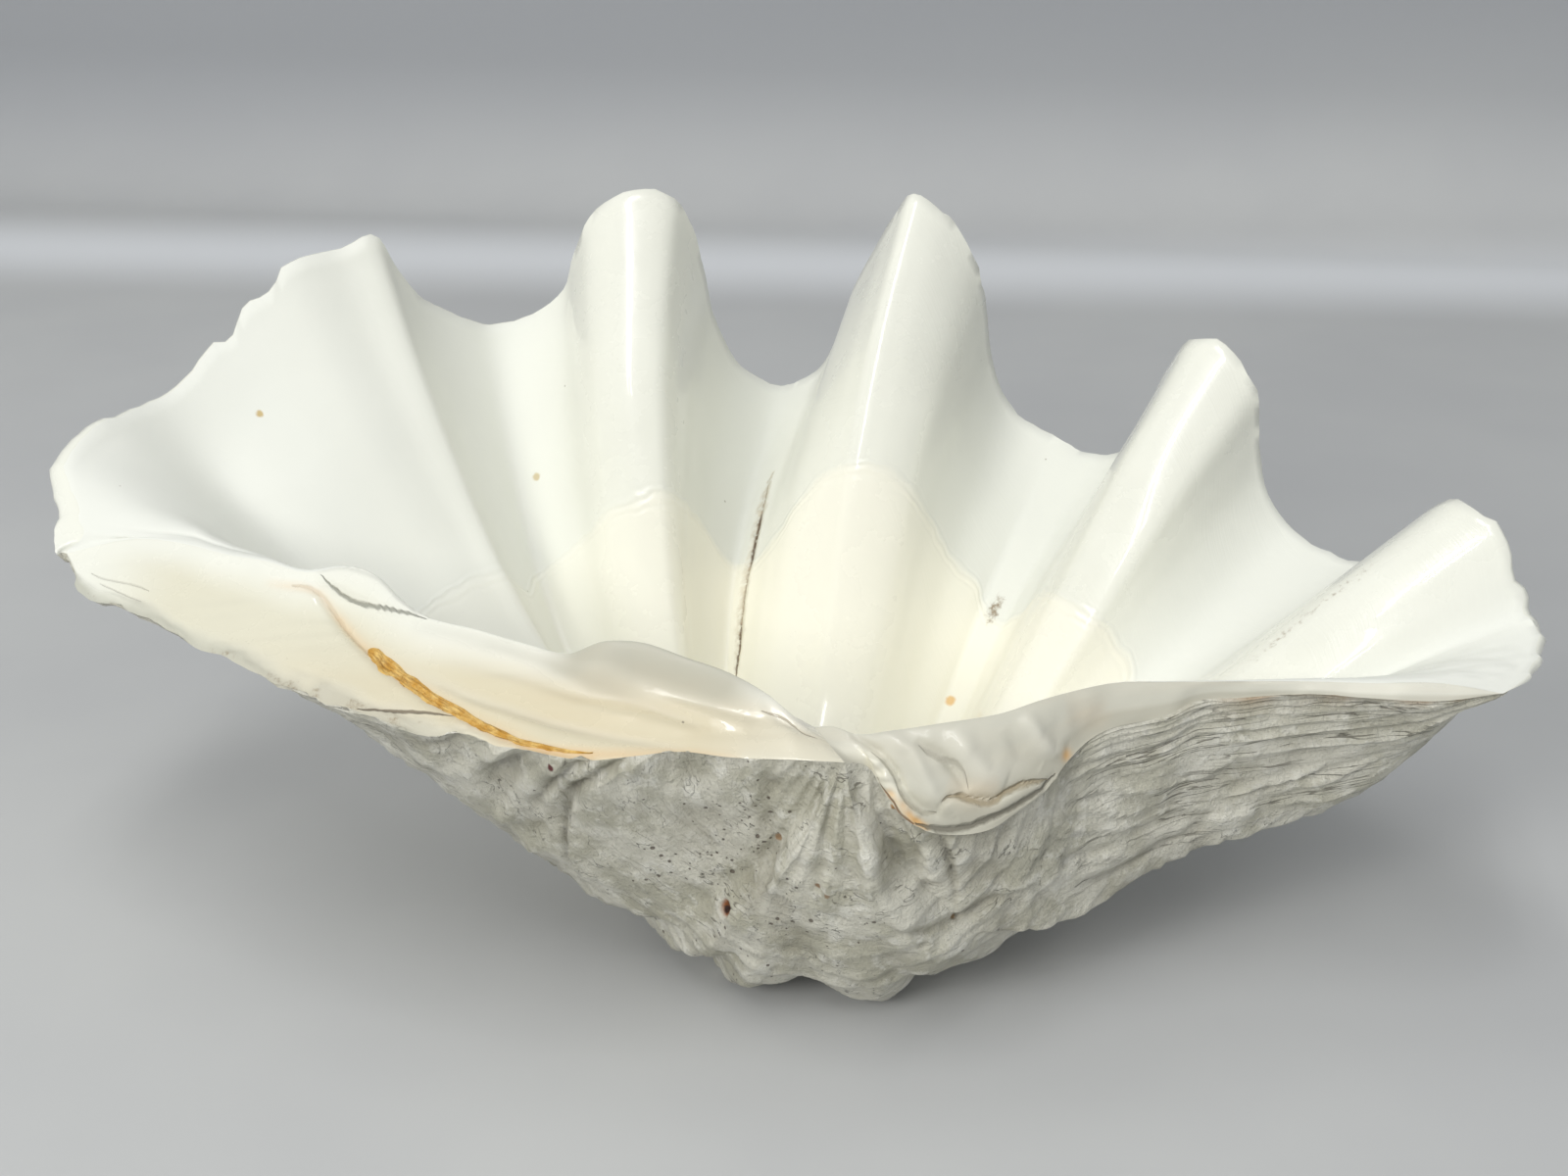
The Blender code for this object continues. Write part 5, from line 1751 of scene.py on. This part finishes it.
@dataclass(frozen=True)
class PorcelainFinish:
    """Inside of the shell: porcelain-like aragonite, laid down in thin crossed layers.

    The animal polished it by growing it, so it is smooth and glossy like glazed porcelain, white
    with a warm cream tint inside the pallial line. It is tinted grey as painted shade in its
    grooves, on its rear wall and in the folds of the hinge plate and lip. The specks are drawn a
    little larger than real dust, which is too fine to show.
    """

    white: str = "#EDEDE1"
    cream: str = "#F6F3E3"
    beige: str = "#D3CCAE"
    # Grey tints laid as painted shade: the first in the bowl, the second on the hinge plate and
    # lip.
    shade_and_matt: str = "#E6E7DF"
    strip_shade_grey: str = "#B2B2A4"
    shade: str = "#E9E9DD"
    # Colour of grime, and of painted shade in the lip's folds, the plate's furrows and one groove.
    dirt: str = "#8A7659"
    deep_dirt: str = "#5E4A33"
    amber: str = "#E2AE62"
    speck: str = "#8F8672"
    rough: tuple[float, float] = (0.18, 0.34)
    cloud_mm: float = 38.0
    wobble_mm: float = 5.0
    cell_mm: float = 14.4
    ripple_mm: float = 0.05
    ripple_per_mm: float = 2.1

    def make(self, drawn: Drawn) -> bpy.types.Material:
        """Build the material.

        Args:
            drawn: What is drawn on the shell.

        Returns:
            The material.
        """
        coat = Coat("aragonite_porcelain", {
            "IOR": 1.58, "Coat Weight": 0.5, "Coat Roughness": 0.04, "Coat IOR": 1.55}, self.white)
        add = coat.add
        zone, shade_and_matt, dirt, warm, amber = coat.masks("zone", "shade_and_matt", "dirt", "warm", "amber")
        strip = add(Node.ABOVE, zone, STRIP_ZONE)
        past = add(Node.PLUS, coat.around(zone, ZONE_SPAN),
                   coat.around(coat.grain(9.0, detail=1.0), self.wobble_mm))
        torn = coat.grain(1.6, detail=6.0, rough=0.7)
        # White clouds, grey painted shade where the grey mask says, and warm inside the pallial
        # line.
        coat.tint(add(Node.SOFT, coat.grain(self.cloud_mm, detail=3.0), 0.35, 0.7), self.shade)
        shade_tint = add(Node.BLEND, strip, tone(self.shade_and_matt), tone(self.strip_shade_grey))
        coat.tint(add(Node.TIMES, shade_and_matt, 0.85), shade_tint)
        warm = add(Node.TIMES, add(Node.LARGER, add(Node.SOFT, past, -2.5, 2.0, 1, 0), strip), warm)
        ivory = add(Node.BLEND, strip, tone(self.cream), tone(self.beige))
        coat.tint(add(Node.TIMES, warm, 0.8), ivory)
        # Amber stains, and grime where the dirt mask and fine noise meet; on the lip, in the
        # plate's furrows and in one groove of the bowl the same colour is painted shade.
        streak = coat.grain((9.0, 60.0, 9.0), coat.growth, detail=5.0)
        streak = add(Node.SOFT, streak, 0.25, 0.7, 0.6, 1.2)
        coat.tint(add(Node.TIMES, amber, streak, use_clamp=True), self.amber)
        grime = add(Node.SOFT, add(Node.PLUS, add(Node.TIMES, dirt, 0.75), torn), 0.75, 1.15)
        coat.tint(add(Node.TIMES, grime, add(Node.SOFT, dirt, 0.02, 0.3)), self.dirt)
        deep = add(Node.TIMES, add(Node.SOFT, dirt, 0.7, 1.0), add(Node.SOFT, torn, 0.3, 0.5))
        coat.tint(deep, self.deep_dirt)
        # Fine lines: cracks and stains, and painted shadow lines along the lip's leaf, hem and
        # folds and under the lateral tooth; those of the bowl are broken up by the fine noise.
        broken = add(Node.SOFT, torn, 0.38, 0.55, 0.25, 1.0)
        cuts = 0.0
        for line in drawn.bowl_lines + drawn.strip_lines:
            in_bowl = line in drawn.bowl_lines
            cut = add(Node.TIMES, coat.trace(line, in_bowl), line.share)
            if in_bowl:
                cut = add(Node.TIMES, cut, broken)
            coat.tint(cut, line.colour)
            cuts = add(Node.LARGER, cuts, cut)
        # Scattered dust specks and single marks.
        cells = add(Node.CELLS, coat.place, 1 / (self.cell_mm * MM), 1.0).outputs
        speck = add(Node.SOFT, cells["Distance"], 0.018, 0.035, 1, 0)
        speck = add(Node.TIMES, speck, add(Node.SOFT, coat.grain(25.0), 0.5, 0.62))
        coat.tint(add(Node.TIMES, speck, 0.6), self.speck)
        for spot in drawn.bowl_spots:
            coat.spot(spot)
        coat.set("Base Color", coat.colour)
        # Polished, but matt where it is cool or dirty.
        rough = add(Node.SOFT, coat.grain(14.0, detail=5.0), 0.3, 0.75, *self.rough)
        less = add(Node.LESS, 1.0, add(Node.TIMES, strip, 0.35))
        matt = add(Node.LARGER, dirt, add(Node.TIMES, shade_and_matt, less))
        rough = add(Node.PLUS, rough, add(Node.TIMES, matt, 0.4), use_clamp=True)
        coat.set("Roughness", rough)
        coat.set("Coat Weight", add(Node.SOFT, matt, 0.1, 0.7, 0.5, 0.0))
        near = add(Node.TIMES, add(Node.SOFT, past, -7, -1), add(Node.SOFT, past, 0, 4, 1, 0))
        wave = add(Node.SINE, add(Node.TIMES, past, self.ripple_per_mm))
        coat.bumps(
            (coat.grain(11.0, detail=2.0), self.ripple_mm * 2),
            (coat.grain((3.0, 40.0, 3.0), coat.growth, detail=4.0), self.ripple_mm),
            (add(Node.TIMES, wave, near), 0.08),
            (add(Node.TIMES, torn, dirt), 0.5),
            (add(Node.LESS, 1.0, cuts), 0.6),
        )
        return coat.material


@dataclass(frozen=True)
class WeatheredFinish:
    """Outside of the shell: aragonite grown in coarse layers, then etched and bored in the sea.

    Cleaning left it pale grey white with a dull wax-like gloss. Fine growth lines, pinholes of
    boring sponges with brown dirt in them, and chalky patches are what the eye sees.
    """

    pale: str = "#E3E0D1"
    grey: str = "#C3C0AD"
    chalk: str = "#F6F4E9"
    # Painted shade in the relief's hollows, and the darker growth lines.
    hollow: str = "#8E8873"
    # Paler tone of the back, and painted light on the layered walls.
    clean: str = "#E4E1D3"
    stain: str = "#B98B56"
    # Cracks, and painted shadow lines in the creases.
    crack: str = "#5F594A"
    pore: str = "#4F3E2C"
    rough: tuple[float, float] = (0.32, 0.62)
    line_mm: float = 1.1
    pore_mm: float = 1.9

    def make(self, drawn: Drawn) -> bpy.types.Material:
        """Build the material.

        Args:
            drawn: What is drawn on the shell.

        Returns:
            The material.
        """
        coat = Coat("aragonite_weathered", {
            "IOR": 1.55, "Coat Weight": 0.4, "Coat Roughness": 0.14, "Coat IOR": 1.5}, self.grey)
        add = coat.add
        zone, hollow, crease_shadows, amber = coat.masks("zone", "warm", "shade_and_matt", "amber")
        # Grey, pale and chalky patches.
        coat.tint(add(Node.SOFT, coat.grain(16.0, detail=5.0), 0.38, 0.60), self.pale)
        chalky = add(Node.SOFT, coat.grain(6.0, detail=6.0, rough=0.65), 0.50, 0.64)
        coat.tint(add(Node.TIMES, chalky, 0.6), self.chalk)
        # Painted shade in the relief's hollows, darker growth lines, a paler tone toward the back,
        # and painted light from above on the layered walls.
        across = coat.grain((14.0, self.line_mm, 1.0), coat.growth, detail=4.0, rough=0.6)
        along = coat.grain((self.line_mm, 40.0, 1.0), coat.growth, detail=4.0, rough=0.6)
        fine = add(Node.MIX, zone, across, along)
        lines = add(Node.TIMES, add(Node.SOFT, fine, 0.34, 0.5, 1, 0),
                    add(Node.SOFT, zone, 0.0, 1.0, 0.15, 0.2))
        # Painted shade in the hollows, laid together with the growth lines.
        hollow = add(Node.TIMES, add(Node.POWER, hollow, 2.2), 0.42)
        coat.tint(add(Node.PLUS, hollow, lines, use_clamp=True), self.hollow)
        depth = add(Node.PARTS, coat.place).outputs[1]
        # Paler toward the back, and painted light on the layered walls.
        back = add(Node.SOFT, depth, -0.07, 0.03, 0.0, 0.6)
        coat.tint(add(Node.LARGER, back, add(Node.TIMES, zone, 0.2)), self.clean)
        # Cracks: long seams on the layered walls, short ones in patches elsewhere, and painted
        # shadow lines in the creases.
        where = add(Node.SOFT, coat.grain((8.0, 30.0, 1.0), coat.growth), 0.4, 0.55)
        seams = add(Node.TIMES, self.seams(coat, (3.0, 60.0, 1.0), 0.012), where)
        where = add(Node.SOFT, coat.grain(12.0, detail=2.0), 0.48, 0.6)
        short = add(Node.TIMES, self.seams(coat, (12.0, 6.0, 1.0), 0.007), where)
        crack = add(Node.LARGER, add(Node.MIX, zone, short, seams), crease_shadows)
        coat.tint(add(Node.TIMES, crack, 0.65), self.crack)
        coat.tint(add(Node.TIMES, amber, 0.5), self.stain)
        # Pinholes of two sizes and single marks.
        pore = add(Node.LARGER, self.pores(coat, self.pore_mm, 0.30),
                   self.pores(coat, self.pore_mm * 0.55, 0.16))
        coat.tint(add(Node.TIMES, pore, 0.8), self.pore)
        for spot in drawn.outside_spots:
            coat.spot(spot)
        coat.set("Base Color", coat.colour)
        rough = add(Node.SOFT, coat.grain(5.0, detail=5.0), 0.3, 0.7, *self.rough)
        coat.set("Roughness", rough)
        coat.bumps(
            (coat.grain(6.0, detail=4.0, rough=0.6), 2.1),
            (coat.grain(1.6, detail=6.0, rough=0.7), 1.1),
            (fine, 0.4),
            (add(Node.LESS, 1.0, crack), 0.45),
            (add(Node.LESS, 1.0, pore), 0.6),
        )
        return coat.material

    def seams(self, coat: Coat, size_mm: tuple[float, float, float], half: float) -> Socket:
        """Thin seams where a stretched noise passes its middle, as a mask."""
        wave = coat.grain(size_mm, coat.growth, detail=3.0, rough=0.5)
        away = coat.add(Node.ABSOLUTE, coat.add(Node.LESS, wave, 0.5))
        return coat.add(Node.SOFT, away, half * 0.4, half, 1, 0)

    def pores(self, coat: Coat, cell_mm: float, share: float) -> Socket:
        """Round pinholes of many sizes, in the given share of the cells where dirt is full."""
        add = coat.add
        cells = add(Node.CELLS, coat.place, 1 / (cell_mm * MM), 1.0).outputs
        parts = add(Node.CHANNELS, cells["Color"]).outputs
        shown = add(Node.BELOW, parts[0], add(Node.TIMES, *coat.masks("dirt"), share))
        away = add(Node.LESS, cells["Distance"], add(Node.TIMES, parts[1], 0.26))
        return add(Node.TIMES, add(Node.SOFT, away, 0.04, 0.14, 1, 0), shown)


@dataclass(frozen=True)
class LigamentFinish:
    """Dried ligament: horny protein that has shrunk and split along its fibres.

    It is a golden ochre strip, lighter where it has frayed, with darker brown lines in the gaps.
    """

    gold: str = "#C8963D"
    light: str = "#E4C074"
    brown: str = "#7C4E1B"
    fibre_mm: float = 0.7

    def make(self) -> bpy.types.Material:
        """Build the material."""
        coat = Coat("dried_conchiolin", {"IOR": 1.5, "Coat Weight": 0.1, "Coat Roughness": 0.3},
                    self.gold)
        fibre = coat.grain((self.fibre_mm, 9.0, 1.0), coat.growth, detail=5.0, rough=0.65)
        patch = coat.grain(3.5, detail=4.0)
        coat.tint(coat.add(Node.SOFT, patch, 0.35, 0.65), self.light)
        coat.tint(coat.add(Node.SOFT, fibre, 0.3, 0.52, 0.8, 0), self.brown)
        coat.set("Base Color", coat.colour)
        coat.set("Roughness", coat.add(Node.SOFT, patch, 0.3, 0.7, 0.42, 0.75))
        coat.bumps((fibre, 0.5), (coat.grain(1.2, detail=5.0), 0.35))
        return coat.material


@dataclass
class LigamentRemnant:
    """Dried strip of the ligament in its groove, frayed along its lower edge."""

    design: ValveDesign
    start: float = 0.262
    end: float = 0.556
    stations: int = 220
    columns: int = 15
    wide: float = 4.7
    thick: float = 1.1
    sunk: float = 0.35
    spokes: int = 64
    evened: int = 12

    def middle_line(self, form: ValveForm, s: Array) -> tuple[Array, Array]:
        """Groove's share across the plate, evened out along it by a bell, and the plate's width."""
        middle, width = form.groove_place(s)
        kernel = bell(np.linspace(-2, 2, 2 * self.evened + 1))
        padded = np.pad(middle, self.evened, mode="edge")
        return np.convolve(padded, kernel / kernel.sum(), mode="valid"), width

    def build(self, shell: ShellValve) -> bpy.types.Object:
        """Make the strip from the plate's own formula.

        The strip follows the groove's place on the hinge plate. Its upper face is the plate
        raised by a rounded, frayed profile, and its lower face is the plate sunk a little.

        Args:
            shell: The shell whose plate it lies on.

        Returns:
            The object, at the origin.
        """
        s = np.linspace(self.start, self.end, self.stations)
        form = ValveForm(self.design, np.linspace(0, 1, self.spokes))
        middle, width = self.middle_line(form, s)
        share = np.linspace(0, 1, self.stations)
        taper = np.clip(0.06 + 1.25 * share, 0, 1) * np.sqrt(np.clip((1 - share) / 0.05, 0, 1))
        spots = np.stack([s * 110, 0 * s], axis=-1)
        fray = 1 + 0.3 * noise(spots, 61) + 0.12 * noise(spots * 3.1, 62)
        lower = -0.5 * self.wide * taper * fray
        upper = 0.5 * self.wide * taper * (1 + 0.15 * noise(spots * 0.7, 63))
        t = np.linspace(0, 1, self.columns)[None, :]
        across = lower[:, None] * (1 - t) + upper[:, None] * t
        top = form.plate(s, middle[:, None] + across / width[:, None])
        top[..., 2] += shell.hinge.relief(top)
        bottom = top.copy()
        round_off = np.clip(np.sin(np.pi * t), 0, 1) ** 0.6
        torn = np.stack([s[:, None] * 90 + 0 * t, across / 0.5], axis=-1)
        lift = self.thick * (0.75 + 0.35 * noise(torn, 64) + 0.25 * noise(torn * 2.3, 65))
        top[..., 2] += lift * round_off * (0.4 + 0.6 * taper[:, None]) + 0.02
        bottom[..., 2] -= self.sunk
        bottom[:, 0], bottom[:, -1] = top[:, 0], top[:, -1]
        bottom[0], bottom[-1] = top[0], top[-1]
        growth = np.stack([across, s[:, None] * 300 + 0 * across], axis=-1)
        masks = {"growth": growth, **{mask: 0 * across for mask in MASKS}}
        patches = [grid_patch(top, masks, Skin.PORCELAIN, False),
                   grid_patch(bottom, masks, Skin.PORCELAIN, True)]
        return weld("ligament_remnant_dressed", patches, self.design)


@dataclass(frozen=True)
class PaperFinish:
    """Studio paper: matt and pale, with a painted lighter band along its bend and painted shade
    where it goes up.
    """

    flat: str = "#C5C6C5"
    mottled: str = "#C0C1C1"
    # Painted light: the lighter band along the bend.
    bend: str = "#E6E8EA"
    # Painted shade: darker up the wall.
    upper: str = "#A6A8AB"
    slant: float = 0.08
    rough: float = 0.75

    def make(self) -> bpy.types.Material:
        """Build the material; the way along the sheet is the sum of its depth and its height."""
        coat = Coat("studio_paper", {"Roughness": self.rough}, self.flat)
        add = coat.add
        coat.tint(add(Node.SOFT, coat.grain(160.0, detail=3.0), 0.3, 0.7), self.mottled)
        across, depth, up = add(Node.PARTS, coat.place).outputs
        way = add(Node.LESS, add(Node.PLUS, depth, up), add(Node.TIMES, across, self.slant))
        # Painted light along the bend, and painted shade higher up the wall.
        light = add(Node.TIMES, add(Node.SOFT, way, 0.6, 0.7), add(Node.SOFT, way, 0.7, 0.8, 1, 0))
        coat.tint(light, self.bend)
        coat.tint(add(Node.SOFT, way, 0.80, 1.0), self.upper)
        coat.set("Base Color", coat.colour)
        return coat.material


@dataclass(frozen=True)
class Lamp:
    """Rectangular lamp: its place, its aim, its two sides in metres, its watts and its colour."""

    name: str
    at: tuple[float, float, float]
    aim: tuple[float, float, float]
    size: tuple[float, float]
    power: float
    colour: str = "#FFFFFF"
    mirrored: bool = False

    def build(self) -> None:
        """Put the lamp into the scene; glossy surfaces mirror it only where it says so."""
        data = bpy.data.lights.new(self.name, "AREA")
        data.shape = "RECTANGLE"
        data.size, data.size_y = self.size
        data.energy = self.power
        data.color = tone(self.colour)[:3]
        lamp = place_object(self.name, data)
        lamp.visible_glossy = self.mirrored
        lamp.location = self.at
        way = Vector(self.aim) - Vector(self.at)
        lamp.rotation_euler = way.to_track_quat("-Z", "Y").to_euler()


@dataclass
class Studio:
    """Plain table top with a backdrop behind it, soft lamps and two long tubes, and the camera."""

    half_wide: float = 2.6
    back_at: float = 0.76
    curl: float = 0.09
    front_at: float = -1.6
    wall_high: float = 1.7
    lamps: tuple[Lamp, ...] = (
        Lamp("lamp_key", (-1.05, -1.98, 1.22), (0, 0, 0.05), (0.8, 0.8), 28.5, "#FFFEFA"),
        Lamp("lamp_fill", (1.3, -1.3, 1.5), (0, 0, 0), (1.0, 0.8), 4.4, "#FFFDF8"),
        Lamp("lamp_top", (-0.7, 0.3, 1.7), (0, 0, 0), (0.7, 0.7), 3.0, "#FFFEFA"),
        Lamp("lamp_tube_a", (-0.13, -0.8, 1.6), (-0.13, -0.79, 0), TUBE, 4.4, mirrored=True),
        Lamp("lamp_tube_b", (0.04, -0.8, 1.6), (0.04, -0.79, 0), TUBE, 4.4, mirrored=True),
    )
    surround: str = "#E9EDF2"
    surround_power: float = 0.47
    camera_at: tuple[float, float, float] = (0.0918, -0.5923, 0.3590)
    camera_pitch: float = 66.0
    camera_turn: float = 9.18
    view_wide: float = 40.0

    def build_table(self) -> None:
        """Table top that curls up into the backdrop: a flat, a quarter round and a wall."""
        flat = np.linspace(self.front_at, self.back_at, 12)
        turn = np.linspace(0, math.pi / 2, 16)[1:]
        wall = np.linspace(self.curl, self.wall_high, 10)[1:]
        back = self.back_at + self.curl
        y = np.concatenate([flat, self.back_at + self.curl * np.sin(turn), 0 * wall + back])
        z = np.concatenate([0 * flat, self.curl * (1 - np.cos(turn)), wall])
        x = np.linspace(-self.half_wide, self.half_wide, 24)
        grid = np.stack(np.broadcast_arrays(x[:, None], y, z), axis=-1)
        mesh = bpy.data.meshes.new("studio_table")
        fill_mesh(mesh, grid.reshape(-1, 3), grid_triangles(len(x), len(y))[:, ::-1])
        mesh.uv_layers.new(name="growth")
        mesh.materials.append(PaperFinish().make())
        place_object("studio_table", mesh)

    def build_light(self) -> None:
        """Soft light from above left, two long tubes overhead, and a pale surround."""
        for lamp in self.lamps:
            lamp.build()
        world = bpy.data.worlds.new("studio_surround")
        world.use_nodes = True
        inputs = world.node_tree.nodes["Background"].inputs
        inputs["Color"].default_value = tone(self.surround)
        inputs["Strength"].default_value = self.surround_power
        bpy.context.scene.world = world
        bpy.context.scene.view_settings.view_transform = "Standard"

    def build_camera(self) -> None:
        """Camera where the photograph's was, with the same width of view."""
        data = bpy.data.cameras.new("camera")
        data.sensor_width = 36.0
        data.lens = data.sensor_width / 2 / math.tan(math.radians(self.view_wide / 2))
        data.clip_start = 0.01
        camera = place_object("camera", data)
        camera.location = self.camera_at
        camera.rotation_euler = (math.radians(self.camera_pitch), 0, math.radians(self.camera_turn))
        bpy.context.scene.camera = camera


def main() -> None:
    """Build the shell, its ligament and the studio, and report each piece."""
    logging.basicConfig(level=logging.INFO, format="%(message)s")
    design = ValveDesign()
    shell = ShellValve(design)
    valve, drawn = shell.build()
    valve.data.materials.append(PorcelainFinish().make(drawn))
    valve.data.materials.append(WeatheredFinish().make(drawn))
    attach(valve, "root")
    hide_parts("shell_valve")
    log.info("shell valve: %d triangles", len(valve.data.polygons))
    strip = LigamentRemnant(design).build(shell)
    strip.data.materials.append(LigamentFinish().make())
    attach(strip, "root")
    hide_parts("ligament_remnant")
    log.info("ligament remnant: %d triangles", len(strip.data.polygons))
    studio = Studio()
    studio.build_table()
    studio.build_light()
    studio.build_camera()
    log.info("studio: table, lamps and camera")


if __name__ == "__main__":
    main()
